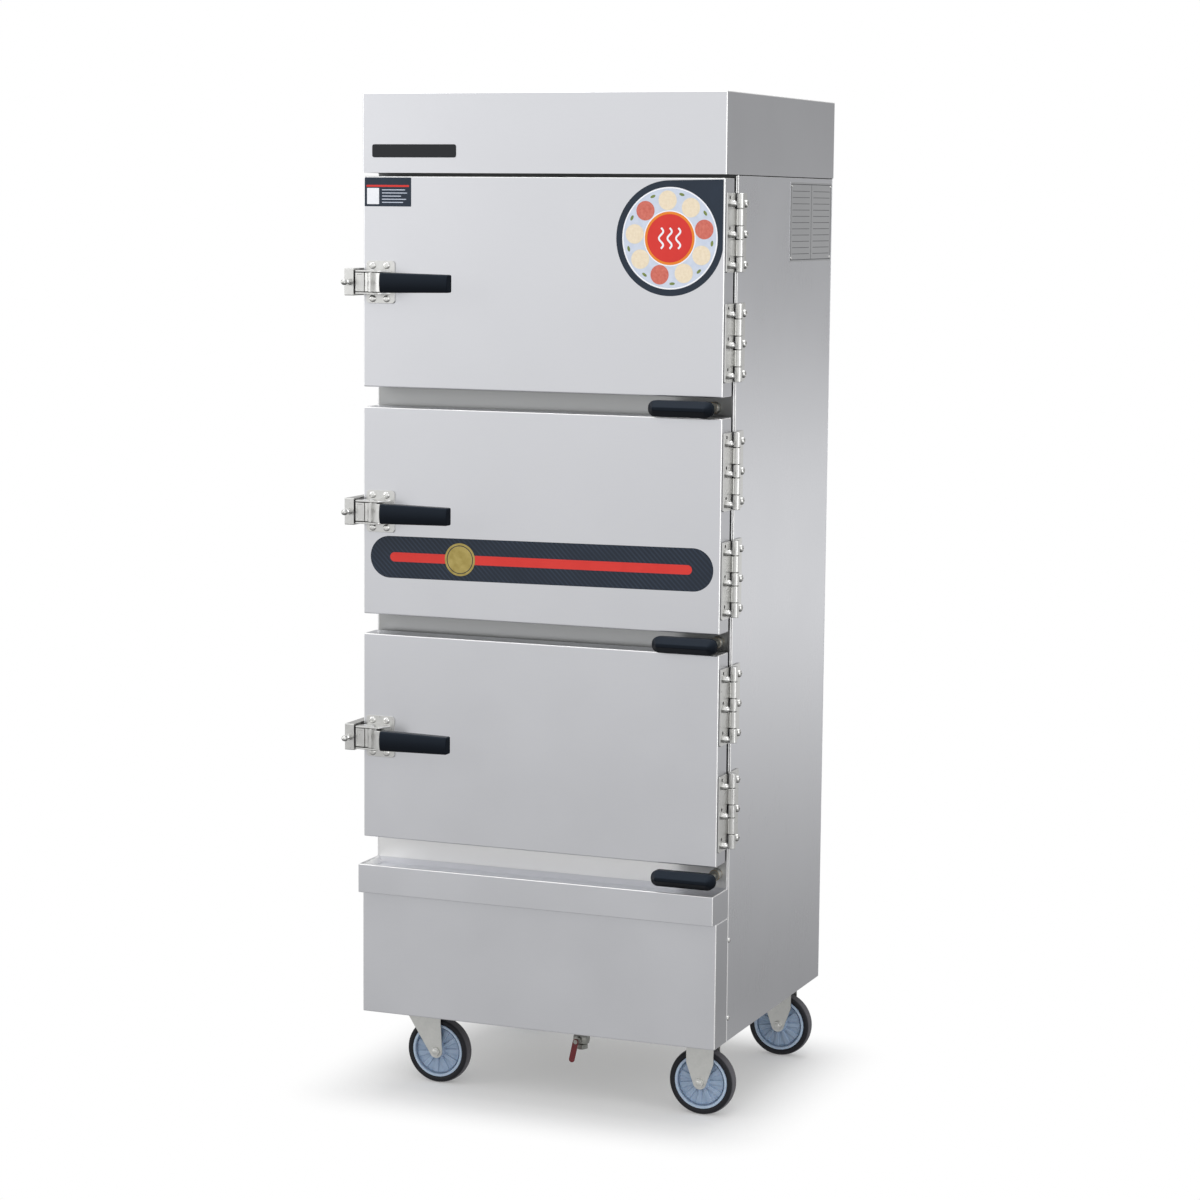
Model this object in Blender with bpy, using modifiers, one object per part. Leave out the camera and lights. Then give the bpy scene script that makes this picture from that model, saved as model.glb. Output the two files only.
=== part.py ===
"""Three-door steam cabinet on casters: a stainless body with three steam compartments,
each closed by its own door with two strap hinges, a lever latch and a steam valve.

Lengths are metres. The cabinet is built about its own centre line, with the doors' front
faces at Y = 0 and the floor at Z = 0, and one empty carries everything so that the
finished object stands on the centre of its own footprint."""

import math

import bmesh
import bpy
from mathutils import Matrix, Vector

# Cabinet body
CABINET_WIDTH = 0.696
CABINET_DEPTH = 0.545
COVER_OVERHANG = 0.002
SHEET = 0.0012
FOLD_RADIUS = 0.0022
FRAME_INSET = 0.002
RETURN_WIDTH = 0.020
SEAT_GAP = 0.0003
CUT_OVERRUN = 0.004
WELD_OVERLAP = 0.0006
MERGE_DISTANCE = 0.00005
PIPE_HOLE_GAP = 0.001

# Heights, from the floor up
DOOR_COUNT = 3
CASTER_HEIGHT = 0.1525
PANEL_HEIGHT = 0.230
GUTTER_HEIGHT = 0.054
GUTTER_DROP = 0.049
DOOR_HEIGHT = 0.381
DOOR_GAP = 0.0365
HEADER_GAP = 0.006
HEADER_HEIGHT = 0.143
COLLAR_HEIGHT = 0.040
BASE_WALL = 0.040

# Depths, from the doors' front faces back
DOOR_THICKNESS = 0.047
SEAL_DEPTH = 0.014
GUTTER_REACH = 0.020

# Compartments and their tray runners
SIDE_WALL = 0.042
CHAMBER_DEPTH = 0.480
CHAMBER_FOLD = 0.010
DOOR_LAP = 0.018
RUNNER_COUNT = 4
RUNNER_WIDTH = 0.012
RUNNER_THICKNESS = 0.0016
RUNNER_LENGTH = 0.440
RUNNER_FRONT_GAP = 0.020
RUNNER_FIRST = 0.050
RUNNER_LAST = 0.070
SERVICE_MARGIN = 0.030

# Doors
DOOR_LINER_DEPTH = 0.027
GASKET_WIDTH = 0.016

# Hinges
HINGE_SPACE = 0.054
HINGE_INSET = 0.0255
LEAF_THICKNESS = 0.003
DOOR_LEAF_WIDTH = 0.0435
BODY_LEAF_WIDTH = 0.0455
BARREL_RADIUS = 0.0075
BARREL_PROUD = 0.009
PIN_RADIUS = 0.0035
PIN_CLEARANCE = 0.0003
KNUCKLE_GAP = 0.0004
LEAF_SETBACK = 0.0055
HINGE_BOLT_OFFSET = 0.037
BODY_SCREW_OFFSET = 0.041
KNUCKLE_SHARES = (0.196, 0.218, 0.172, 0.218, 0.196)
HINGE_BOLT_MARGIN = 0.0155
NUT_RADIUS = 0.0062
NUT_HEIGHT = 0.0065
STUD_RADIUS = 0.0045
STUD_HEIGHT = 0.0045
PAN_HEAD_RADIUS = 0.0055
PAN_HEAD_HEIGHT = 0.0036
HEAD_TAPER_SHARE = 0.7

# Latches
LATCH_INSET = 0.007
LATCH_PLATE_WIDTH = 0.057
LATCH_PLATE_HEIGHT = 0.077
LATCH_PLATE_THICKNESS = 0.0025
LATCH_PLATE_ROUND = 0.0055
LATCH_SCREW_SPAN_X = 0.028
LATCH_SCREW_SPAN_Z = 0.060
LATCH_SCREW_INSET = 0.013
EAR_THICKNESS = 0.003
EAR_OPENING = 0.037
EAR_REACH = 0.034
EAR_LENGTH = 0.052
EAR_SHARES = (0.25, 0.5)
LATCH_PIN_INSET = 0.030
LATCH_PIN_FORWARD = 0.026
LATCH_PIN_RADIUS = 0.0035
LEVER_HEIGHT = 0.034
LEVER_BOSS_RADIUS = 0.0085
NOSE_LENGTH = 0.0315
NOSE_THICKNESS = 0.009
NECK_THICKNESS = 0.006
NECK_SHARES = (0.33, 0.5, 0.67)
GRIP_FORWARD = 0.045
GRIP_START = 0.027
GRIP_LENGTH = 0.135
GRIP_HEIGHT = 0.037
GRIP_END_HEIGHT = 0.031
GRIP_DEPTH = 0.022
GRIP_ROUND = 0.006
GRIP_TANG = 0.012

# Keepers on the cabinet's left side
KEEPER_HEIGHT = 0.049
KEEPER_WIDTH = 0.0165
KEEPER_THICKNESS = 0.0025
KEEPER_FORWARD = 0.032
KEEPER_CLEARANCE = 0.0045
KEEPER_FOOT_START = 0.006
KEEPER_FOOT_LENGTH = 0.040
KEEPER_BOLT_RADIUS = 0.0035
KEEPER_BOLT_LENGTH = 0.062
KEEPER_BOLT_FORWARD = 0.026
KEEPER_NUT_RADIUS = 0.0065
KEEPER_NUT_LENGTH = 0.010

# Steam valves
VALVE_INSETS = (0.035, 0.023, 0.020)
NOZZLE_INSET = 0.007
VALVE_LENGTH = 0.120
VALVE_TAIL = 0.022
VALVE_THICKNESS = 0.029
VALVE_DEPTH = 0.025
VALVE_FORWARD = 0.003
VALVE_EDGE = 0.003
VALVE_BODY_GAP = 0.003
VALVE_DOOR_GAP = 0.001
VALVE_END_ROUND = 0.011
SPINDLE_RADIUS = 0.005
SPINDLE_CLEARANCE = 0.0003
SPINDLE_SEAT = 0.010
GLAND_RADIUS = 0.010
GLAND_LENGTH = 0.014
VALVE_BODY_RADIUS = 0.012
VALVE_BODY_LENGTH = 0.026
RISER_RADIUS = 0.009
RISER_BACK = 0.022
STUB_RADIUS = 0.006
NOZZLE_RADIUS = 0.007
INLET_SHIFT = 0.035
RISER_FOOT = 0.060
INLET_STUB = 0.020

# Drain valve
DRAIN_X = 0.060
DRAIN_BACK = 0.018
DRAIN_PIPE_RADIUS = 0.008
DRAIN_BORE_RADIUS = 0.005
DRAIN_BALL_RADIUS = 0.013
DRAIN_BALL_DROP = 0.028
DRAIN_OUTLET_DROP = 0.048
DRAIN_STEM_RADIUS = 0.004
DRAIN_STEM_LENGTH = 0.018
DRAIN_LEVER_LENGTH = 0.040
DRAIN_LEVER_WIDTH = 0.011
DRAIN_LEVER_THICKNESS = 0.003
DRAIN_LEVER_ANGLE = 12.0

# Casters
WHEEL_RADIUS = 0.0625
WHEEL_WIDTH = 0.027
TYRE_THICKNESS = 0.011
TYRE_EDGE = 0.0037
WHEEL_DISC = 0.012
HUB_RADIUS = 0.016
AXLE_RADIUS = 0.005
AXLE_CLEARANCE = 0.0003
WHEEL_SIDE_GAP = 0.003
FORK_THICKNESS = 0.003
CASTER_PLATE = 0.090
CASTER_PLATE_THICKNESS = 0.003
SWIVEL_INSET = 0.079
RIGID_INSET = 0.060
CASTER_INSET_FRONT = 0.050
CASTER_INSET_BACK = 0.047
CASTER_TRAIL = 0.026
RACE_RADIUS = 0.036
RACE_HEIGHT = 0.008
CROWN_RADIUS = 0.040
CROWN_HEIGHT = 0.009
KING_PIN_RADIUS = 0.006
RIGID_LEG_WIDTH = 0.053
LEG_END_RADIUS = 0.013
AXLE_HEAD_RADIUS = 0.008
AXLE_HEAD_HEIGHT = 0.005
LEG_ARC_START = 205
SWIVEL_LEG_ARC_END = 360
FIXED_LEG_ARC_END = 335

# Facets of round pieces, and the angle under which two faces shade as one
WHEEL_STEPS = 28
ROUND_STEPS = 12
SMALL_STEPS = 8
HEX_STEPS = 6
CORNER_STEPS = 4
PLATE_CORNER_STEPS = 3
LEG_END_STEPS = 7
FOLD_SEGMENTS = 2
GRIP_SEGMENTS = 3
SMOOTH_ANGLE = 40
FACING_SHARE = 0.9

# Levels worked out from the sizes above
half_width = CABINET_WIDTH / 2
half_cover = half_width + COVER_OVERHANG
half_chamber = half_width - SIDE_WALL
frame_front = DOOR_THICKNESS + SEAL_DEPTH
frame_back = frame_front + SHEET
body_front = frame_back + SEAT_GAP
body_back = frame_front + CABINET_DEPTH
back_plate_back = body_back - SHEET - SEAT_GAP
back_plate_front = back_plate_back - SHEET
side_back = back_plate_front - SEAT_GAP
panel_top = CASTER_HEIGHT + PANEL_HEIGHT
gutter_bottom = panel_top + SEAT_GAP
gutter_top = gutter_bottom + GUTTER_HEIGHT
lowest_door = gutter_top + GUTTER_DROP
door_pitch = DOOR_HEIGHT + DOOR_GAP
door_bottoms = [lowest_door + (DOOR_COUNT - 1 - row) * door_pitch for row in range(DOOR_COUNT)]
doors_top = door_bottoms[0] + DOOR_HEIGHT
header_bottom = doors_top + HEADER_GAP
side_top = header_bottom - SEAT_GAP
header_top = header_bottom + HEADER_HEIGHT
collar_top = header_bottom + COLLAR_HEIGHT

hinge_height = (DOOR_HEIGHT - 2 * HINGE_INSET - HINGE_SPACE) / 2
hinge_bolt_pitch = hinge_height / 2 - HINGE_BOLT_MARGIN
hinge_x = half_width + BARREL_PROUD
hinge_y = DOOR_THICKNESS + SEAL_DEPTH / 2

latch_pin_x = -half_width + LATCH_PIN_INSET
keeper_right = -half_width - KEEPER_CLEARANCE
keeper_left = keeper_right - KEEPER_WIDTH - KEEPER_THICKNESS
riser_x = (half_chamber + half_width) / 2
riser_y = body_front + RISER_BACK
valve_places = [half_width - inset for inset in VALVE_INSETS]
nozzle_x = half_chamber - NOZZLE_INSET

# The finished object's own footprint, which sets where the origin falls
object_left = keeper_left
object_right = hinge_x + BARREL_RADIUS
object_front = min(-GRIP_FORWARD - GRIP_DEPTH / 2, -KEEPER_FORWARD - KEEPER_BOLT_FORWARD)
object_back = body_back + INLET_STUB
centre_x = (object_left + object_right) / 2
centre_y = (object_front + object_back) / 2

for old in list(bpy.data.objects):
    bpy.data.objects.remove(old, do_unlink=True)

parts = bpy.data.collections.new("steam_cabinet")
shapers = bpy.data.collections.new("shaping_tools")
bpy.context.scene.collection.children.link(parts)
bpy.context.scene.collection.children.link(shapers)


def material(name, colour, roughness, metallic):
    made = bpy.data.materials.new(name)
    made.use_nodes = True
    shader = made.node_tree.nodes["Principled BSDF"]
    shader.inputs["Base Color"].default_value = (*colour, 1.0)
    shader.inputs["Roughness"].default_value = roughness
    shader.inputs["Metallic"].default_value = metallic
    made.diffuse_color = (*colour, 1.0)
    return made


STAINLESS = material("brushed_stainless", (0.62, 0.62, 0.64), 0.36, 1.0)
DARK_STAINLESS = material("side_stainless", (0.50, 0.50, 0.51), 0.40, 1.0)
LINER_STEEL = material("liner_stainless", (0.55, 0.55, 0.56), 0.45, 1.0)
CAST_STEEL = material("polished_cast_steel", (0.70, 0.70, 0.68), 0.25, 1.0)
ZINC = material("zinc_plated_steel", (0.52, 0.53, 0.52), 0.38, 1.0)
BAKELITE = material("black_bakelite", (0.012, 0.014, 0.018), 0.32, 0.0)
RUBBER = material("door_seal_rubber", (0.10, 0.10, 0.10), 0.70, 0.0)
BRASS = material("valve_brass", (0.56, 0.42, 0.20), 0.35, 1.0)
WHEEL_PLASTIC = material("caster_wheel", (0.20, 0.27, 0.36), 0.50, 0.0)
RED_DIP = material("red_dipped_lever", (0.16, 0.01, 0.015), 0.40, 0.0)


def empty(name, position, parent=None):
    made = bpy.data.objects.new(name, None)
    parts.objects.link(made)
    made["place"] = Vector(position)
    made.parent = parent
    made.location = Vector(position) - (place_of(parent) if parent else Vector())
    return made


def place_of(holder):
    return Vector(holder["place"])


cabinet = bpy.data.objects.new("cabinet_frame", None)
parts.objects.link(cabinet)
cabinet["place"] = Vector((0, 0, 0))
cabinet.location = (-centre_x, -centre_y, 0)


def add(name, mesh, centre, holder=None, paint=None):
    """One object at a place in the cabinet, carried by the empty on its joint's axis."""
    made = bpy.data.objects.new(name, mesh)
    holder = holder or cabinet
    (parts if paint else shapers).objects.link(made)
    made.parent = holder
    made.location = Vector(centre) - place_of(holder)
    if paint:
        mesh.materials.append(paint)
    else:
        made.hide_render = True
        made.display_type = "WIRE"
    return made


def mesh_from(bm, name):
    mesh = bpy.data.meshes.new(name)
    bm.to_mesh(mesh)
    bm.free()
    return mesh


def box(name, low, high, holder=None, paint=None):
    low, high = Vector(low), Vector(high)
    bm = bmesh.new()
    bmesh.ops.create_cube(bm, size=1.0)
    bmesh.ops.scale(bm, vec=high - low, verts=bm.verts)
    return add(name, mesh_from(bm, name), (low + high) / 2, holder, paint)


def boxes(name, pairs, holder=None, paint=None):
    """Several separate boxes in one mesh, given by their lowest and highest corners."""
    bm = bmesh.new()
    for low, high in pairs:
        low, high = Vector(low), Vector(high)
        cube = bmesh.ops.create_cube(bm, size=1.0)["verts"]
        bmesh.ops.scale(bm, vec=high - low, verts=cube)
        bmesh.ops.translate(bm, vec=(low + high) / 2, verts=cube)
    return add(name, mesh_from(bm, name), (0, 0, 0), holder, paint)


TURN = {"X": Matrix.Rotation(math.pi / 2, 3, "Y"), "Y": Matrix.Rotation(-math.pi / 2, 3, "X"),
        "Z": Matrix.Identity(3)}


def rods(name, runs, holder=None, paint=None, steps=SMALL_STEPS):
    """Round rods in one mesh. A run is (start, axis, length, radius) or adds an end radius."""
    bm = bmesh.new()
    for start, axis, length, radius, *end in runs:
        made = bmesh.ops.create_cone(bm, cap_ends=True, segments=steps, radius1=radius,
                                     radius2=end[0] if end else radius, depth=length)
        bmesh.ops.rotate(bm, matrix=TURN[axis], verts=made["verts"])
        along = TURN[axis] @ Vector((0, 0, length / 2))
        bmesh.ops.translate(bm, vec=Vector(start) + along, verts=made["verts"])
    made = add(name, mesh_from(bm, name), (0, 0, 0), holder, paint)
    smooth(made)
    return made


def smooth(made):
    made.data.shade_smooth()
    made.data.set_sharp_from_angle(angle=math.radians(SMOOTH_ANGLE))


FACE_DIRECTIONS = {"+X": (1, 0, 0), "-X": (-1, 0, 0), "+Y": (0, 1, 0), "-Y": (0, -1, 0),
                   "+Z": (0, 0, 1), "-Z": (0, 0, -1)}


def pan(name, low, high, open_sides, paint, fold=FOLD_RADIUS, sheet=SHEET, outward=False, holder=None):
    """A folded sheet box with some sides left open, its folds rounded."""
    low, high = Vector(low), Vector(high)
    bm = bmesh.new()
    bmesh.ops.create_cube(bm, size=1.0)
    bmesh.ops.scale(bm, vec=high - low, verts=bm.verts)
    bm.normal_update()
    ways = [Vector(FACE_DIRECTIONS[side]) for side in open_sides]
    gone = [face for face in bm.faces if any(face.normal.dot(way) > FACING_SHARE for way in ways)]
    bmesh.ops.delete(bm, geom=gone, context="FACES")
    made = add(name, mesh_from(bm, name), (low + high) / 2, holder, paint)
    bend = made.modifiers.new("folds", "BEVEL")
    bend.width = fold
    bend.segments = FOLD_SEGMENTS
    bend.limit_method = "ANGLE"
    wall = made.modifiers.new("sheet", "SOLIDIFY")
    wall.thickness = sheet
    wall.offset = 1.0 if outward else -1.0
    return made


def shape(target, operation, tool):
    """Joins a tool to a piece or cuts it away."""
    step = target.modifiers.new(tool.name, "BOOLEAN")
    step.operation = operation
    step.solver = "EXACT"
    step.object = tool
    return target


def soften(made, width, segments=FOLD_SEGMENTS):
    rim = made.modifiers.new("edges", "BEVEL")
    rim.width = width
    rim.segments = segments
    rim.limit_method = "ANGLE"
    return made


def outline(name, points, thickness, matrix, centre, holder=None, paint=None):
    """A flat plate cut to an outline in its own XY plane, then turned by a matrix."""
    curve = bpy.data.curves.new(name, "CURVE")
    curve.dimensions = "2D"
    curve.fill_mode = "BOTH"
    curve.extrude = thickness / 2
    line = curve.splines.new("POLY")
    line.points.add(len(points) - 1)
    line.use_cyclic_u = True
    for place, (across, along) in zip(line.points, points):
        place.co = (across, along, 0, 1)
    flat = bpy.data.objects.new(name, curve)
    shapers.objects.link(flat)
    graph = bpy.context.evaluated_depsgraph_get()
    mesh = bpy.data.meshes.new_from_object(flat.evaluated_get(graph))
    bpy.data.objects.remove(flat, do_unlink=True)
    bm = bmesh.new()
    bm.from_mesh(mesh)
    bmesh.ops.remove_doubles(bm, verts=bm.verts, dist=MERGE_DISTANCE)
    bmesh.ops.rotate(bm, matrix=matrix, verts=bm.verts)
    bmesh.ops.recalc_face_normals(bm, faces=bm.faces)
    bm.to_mesh(mesh)
    bm.free()
    mesh.materials.clear()
    return add(name, mesh, centre, holder, paint)


def arc(centre_point, radius, start, end, steps):
    """Points round an arc, in degrees."""
    out = []
    for step in range(steps + 1):
        angle = math.radians(start + (end - start) * step / steps)
        out.append((centre_point[0] + radius * math.cos(angle), centre_point[1] + radius * math.sin(angle)))
    return out


def rounded(left, right, half_height, rounding, steps):
    """Points of an oblong with its four corners rounded."""
    out = []
    inner_left, inner_right, inner_top = left + rounding, right - rounding, half_height - rounding
    for across, along, start in ((inner_right, inner_top, 0), (inner_left, inner_top, 90),
                                 (inner_left, -inner_top, 180), (inner_right, -inner_top, 270)):
        out += arc((across, along), rounding, start, start + 90, steps)
    return out


UPRIGHT = Matrix.Rotation(math.pi / 2, 3, "X")
FLAT = Matrix.Identity(3)

# Header cover with its underside closed in front of the body
header = pan("header_cap", (-half_cover, 0, header_bottom), (half_cover, body_back, header_top),
             ["-Z"], STAINLESS)
soffit_edge = half_cover - SHEET + WELD_OVERLAP / 2
soffit = box("soffit", (-soffit_edge, SHEET - WELD_OVERLAP / 2, header_bottom),
             (soffit_edge, frame_front - SEAT_GAP, header_bottom + SHEET))
shape(header, "UNION", soffit)

# Side, back and front sheets of the body
side_right = pan("side_panel_right", (half_width - RETURN_WIDTH, body_front, CASTER_HEIGHT),
                 (half_width, side_back, side_top), ["-X", "-Z"], DARK_STAINLESS)
pan("side_panel_left", (-half_width, body_front, CASTER_HEIGHT),
    (-half_width + RETURN_WIDTH, side_back, side_top), ["+X", "-Z"], DARK_STAINLESS)
back_panel = box("back_panel", (-half_width, back_plate_front, CASTER_HEIGHT),
                 (half_width, back_plate_back, collar_top), paint=DARK_STAINLESS)
inlet_z = CASTER_HEIGHT + RISER_FOOT
inlet_x = riser_x - INLET_SHIFT
inlet_hole = rods("inlet_hole", [((inlet_x, back_plate_front - CUT_OVERRUN, inlet_z), "Y",
                                  SHEET + 2 * CUT_OVERRUN, RISER_RADIUS + PIPE_HOLE_GAP)])
shape(back_panel, "DIFFERENCE", inlet_hole)

frame_edge = half_width - FRAME_INSET
front_frame = box("front_frame", (-frame_edge, frame_front, CASTER_HEIGHT),
                  (frame_edge, frame_back, collar_top), paint=STAINLESS)
windows = []
chambers = []
for bottom in door_bottoms:
    low = bottom + DOOR_LAP
    high = bottom + DOOR_HEIGHT - DOOR_LAP
    chambers.append((low, high))
    windows.append(((-half_chamber, frame_front - CUT_OVERRUN, low),
                    (half_chamber, frame_back + CUT_OVERRUN, high)))
service_low = CASTER_HEIGHT + SERVICE_MARGIN
service_high = panel_top - SERVICE_MARGIN
windows.append(((-half_chamber, frame_front - CUT_OVERRUN, service_low),
                (half_chamber, frame_back + CUT_OVERRUN, service_high)))
shape(front_frame, "DIFFERENCE", boxes("frame_windows", windows))

# Each valve sits in the strip under its own door
valve_heights = []
for row in range(DOOR_COUNT):
    if row < DOOR_COUNT - 1:
        ledge = door_bottoms[row + 1] + DOOR_HEIGHT + VALVE_DOOR_GAP
        valve_heights.append(ledge + VALVE_THICKNESS / 2)
    else:
        valve_heights.append((gutter_top + door_bottoms[row]) / 2)
hole_length = 2 * SHEET + SEAT_GAP + 2 * CUT_OVERRUN
gland_holes = [((place, frame_front - CUT_OVERRUN, height), "Y", hole_length, GLAND_RADIUS + PIPE_HOLE_GAP)
               for place, height in zip(valve_places, valve_heights)]
hole_tool = rods("gland_holes", gland_holes, steps=ROUND_STEPS)
shape(front_frame, "DIFFERENCE", hole_tool)
shape(side_right, "DIFFERENCE", hole_tool)

# Compartments: welded inner boxes with folded tray runners
for row, (low, high) in enumerate(chambers):
    liner = pan(f"compartment_{row + 1}_liner", (-half_chamber, body_front, low),
                (half_chamber, body_front + CHAMBER_DEPTH, high), ["-Y"], LINER_STEEL,
                fold=CHAMBER_FOLD, outward=True)
    runners = []
    runner_front = body_front + RUNNER_FRONT_GAP
    runner_pitch = (high - low - RUNNER_FIRST - RUNNER_LAST) / (RUNNER_COUNT - 1)
    for step in range(RUNNER_COUNT):
        level = low + RUNNER_FIRST + step * runner_pitch
        for side in (-1, 1):
            inner = side * (half_chamber - RUNNER_WIDTH)
            outer = side * (half_chamber + WELD_OVERLAP)
            runners.append(((min(inner, outer), runner_front, level),
                            (max(inner, outer), runner_front + RUNNER_LENGTH, level + RUNNER_THICKNESS)))
    shape(liner, "UNION", boxes(f"runners_{row + 1}", runners))

# Floor pan that carries the casters
base_edge = half_width - SHEET - SEAT_GAP
base_front = body_front + SHEET + SEAT_GAP
base_frame = pan("base_frame", (-base_edge, base_front, CASTER_HEIGHT),
                 (base_edge, side_back - SHEET - SEAT_GAP, CASTER_HEIGHT + BASE_WALL), ["+Z"], ZINC)
drain_y = body_front + DRAIN_BACK
drain_hole = rods("drain_hole", [((DRAIN_X, drain_y, CASTER_HEIGHT - CUT_OVERRUN), "Z",
                                  SHEET + 2 * CUT_OVERRUN, DRAIN_PIPE_RADIUS + PIPE_HOLE_GAP)],
                  steps=ROUND_STEPS)
shape(base_frame, "DIFFERENCE", drain_hole)

# Folded box under the doors and the drip gutter that stands on it
pan("lower_panel", (-half_cover, 0, CASTER_HEIGHT), (half_cover, frame_front - SEAT_GAP, panel_top),
    ["+Y"], STAINLESS)
pan("drip_gutter", (-half_cover, -GUTTER_REACH, gutter_bottom),
    (half_cover, frame_front - SEAT_GAP, gutter_top), ["+Z"], STAINLESS)

# Steam riser: one pipe in the wall cavity with a valve body, gland and nozzle for each compartment
riser_top = valve_heights[0] + RISER_RADIUS
riser_foot = inlet_z - RISER_RADIUS
riser = rods("steam_riser", [((riser_x, riser_y, riser_foot), "Z", riser_top - riser_foot, RISER_RADIUS)],
             paint=BRASS)
body_start = body_front + VALVE_BODY_GAP
crossings = []
valve_bodies = []
glands = []
nozzles = []
bores = []
gland_front = frame_front - GLAND_LENGTH
gland_length = GLAND_LENGTH + SHEET + SEAT_GAP + VALVE_BODY_GAP + WELD_OVERLAP
for row, height in enumerate(valve_heights):
    valve_x = valve_places[row]
    crossing_start = nozzle_x - WELD_OVERLAP
    crossings.append(((crossing_start, riser_y, height), "X", riser_x - crossing_start, STUB_RADIUS))
    valve_bodies.append(((valve_x, body_start, height), "Y", VALVE_BODY_LENGTH, VALVE_BODY_RADIUS))
    glands.append(((valve_x, gland_front, height), "Y", gland_length, GLAND_RADIUS))
    nozzle_top = chambers[row][0] - SHEET - SEAT_GAP
    nozzle_foot = height - STUB_RADIUS - WELD_OVERLAP
    nozzles.append(((nozzle_x, riser_y, nozzle_foot), "Z", nozzle_top - nozzle_foot, NOZZLE_RADIUS))
    bores.append(((valve_x, gland_front - CUT_OVERRUN, height), "Y", SPINDLE_SEAT + SEAT_GAP + CUT_OVERRUN,
                  SPINDLE_RADIUS + SPINDLE_CLEARANCE))
crossings.append(((inlet_x, riser_y, inlet_z), "X", riser_x - inlet_x, STUB_RADIUS))
shape(riser, "UNION", rods("riser_crossings", crossings))
shape(riser, "UNION", rods("valve_bodies", valve_bodies, steps=ROUND_STEPS))
shape(riser, "UNION", rods("valve_nozzles", nozzles))
shape(riser, "UNION", rods("valve_glands", glands, steps=ROUND_STEPS))
inlet_start = riser_y - RISER_RADIUS
inlet = rods("steam_inlet", [((inlet_x, inlet_start, inlet_z), "Y", object_back - inlet_start, RISER_RADIUS)],
             steps=ROUND_STEPS)
shape(riser, "UNION", inlet)
shape(riser, "DIFFERENCE", rods("gland_bores", bores, steps=ROUND_STEPS))

# Steam valve handles on their spindles
half_thick = VALVE_THICKNESS / 2
for row, height in enumerate(valve_heights):
    valve_x = valve_places[row]
    turning = empty(f"steam_valve_{row + 1}_axis", (valve_x, 0, height), cabinet)
    points = rounded(VALVE_TAIL - VALVE_LENGTH, VALVE_TAIL, half_thick, VALVE_END_ROUND, CORNER_STEPS)
    handle_y = -VALVE_FORWARD - VALVE_DEPTH / 2
    handle = outline(f"steam_valve_{row + 1}_handle", points, VALVE_DEPTH, UPRIGHT,
                     (valve_x, handle_y, height), turning, BAKELITE)
    soften(handle, VALVE_EDGE)
    reach = gland_front + SPINDLE_SEAT + VALVE_FORWARD + WELD_OVERLAP
    spindle = rods(f"spindle_{row + 1}", [((valve_x, -VALVE_FORWARD - WELD_OVERLAP, height), "Y", reach,
                                           SPINDLE_RADIUS)], steps=ROUND_STEPS)
    shape(handle, "UNION", spindle)
    smooth(handle)

# Condensate drain: pipe from the lowest compartment, ball valve and its quarter-turn lever
ball_z = CASTER_HEIGHT - DRAIN_BALL_DROP
outlet_z = CASTER_HEIGHT - DRAIN_OUTLET_DROP
drain_top = chambers[-1][0] - SHEET - SEAT_GAP
drain = rods("drain_valve_body", [((DRAIN_X, drain_y, outlet_z), "Z", drain_top - outlet_z, DRAIN_PIPE_RADIUS)],
             paint=BRASS, steps=ROUND_STEPS)
shape(drain, "UNION", rods("drain_ball", [((DRAIN_X - DRAIN_BALL_RADIUS, drain_y, ball_z), "X",
                                           2 * DRAIN_BALL_RADIUS, DRAIN_BALL_RADIUS)], steps=ROUND_STEPS))
stem_front = drain_y - DRAIN_BALL_RADIUS - DRAIN_STEM_LENGTH
shape(drain, "UNION", rods("drain_stem", [((DRAIN_X, stem_front, ball_z), "Y",
                                           DRAIN_STEM_LENGTH + DRAIN_BALL_RADIUS / 2, DRAIN_STEM_RADIUS)]))
shape(drain, "DIFFERENCE", rods("drain_bore", [((DRAIN_X, drain_y, outlet_z - CUT_OVERRUN), "Z",
                                                drain_top - outlet_z + 2 * CUT_OVERRUN, DRAIN_BORE_RADIUS)],
                                steps=ROUND_STEPS))
drain_axis = empty("drain_lever_axis", (DRAIN_X, stem_front, ball_z), cabinet)
lever_half = DRAIN_LEVER_WIDTH / 2
lever_points = arc((0, 0), lever_half, 0, 180, LEG_END_STEPS)
lever_points += arc((0, lever_half - DRAIN_LEVER_LENGTH), lever_half, 180, 360, LEG_END_STEPS)
lever_turn = Matrix.Rotation(math.radians(DRAIN_LEVER_ANGLE), 3, "Y") @ UPRIGHT
drain_lever = outline("drain_lever", lever_points, DRAIN_LEVER_THICKNESS, lever_turn,
                      (DRAIN_X, stem_front + DRAIN_LEVER_THICKNESS / 2, ball_z), drain_axis, RED_DIP)
shape(drain_lever, "DIFFERENCE", rods("lever_eye", [((DRAIN_X, stem_front - CUT_OVERRUN, ball_z), "Y",
                                                     DRAIN_LEVER_THICKNESS + 2 * CUT_OVERRUN,
                                                     DRAIN_STEM_RADIUS + PIN_CLEARANCE)]))

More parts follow.
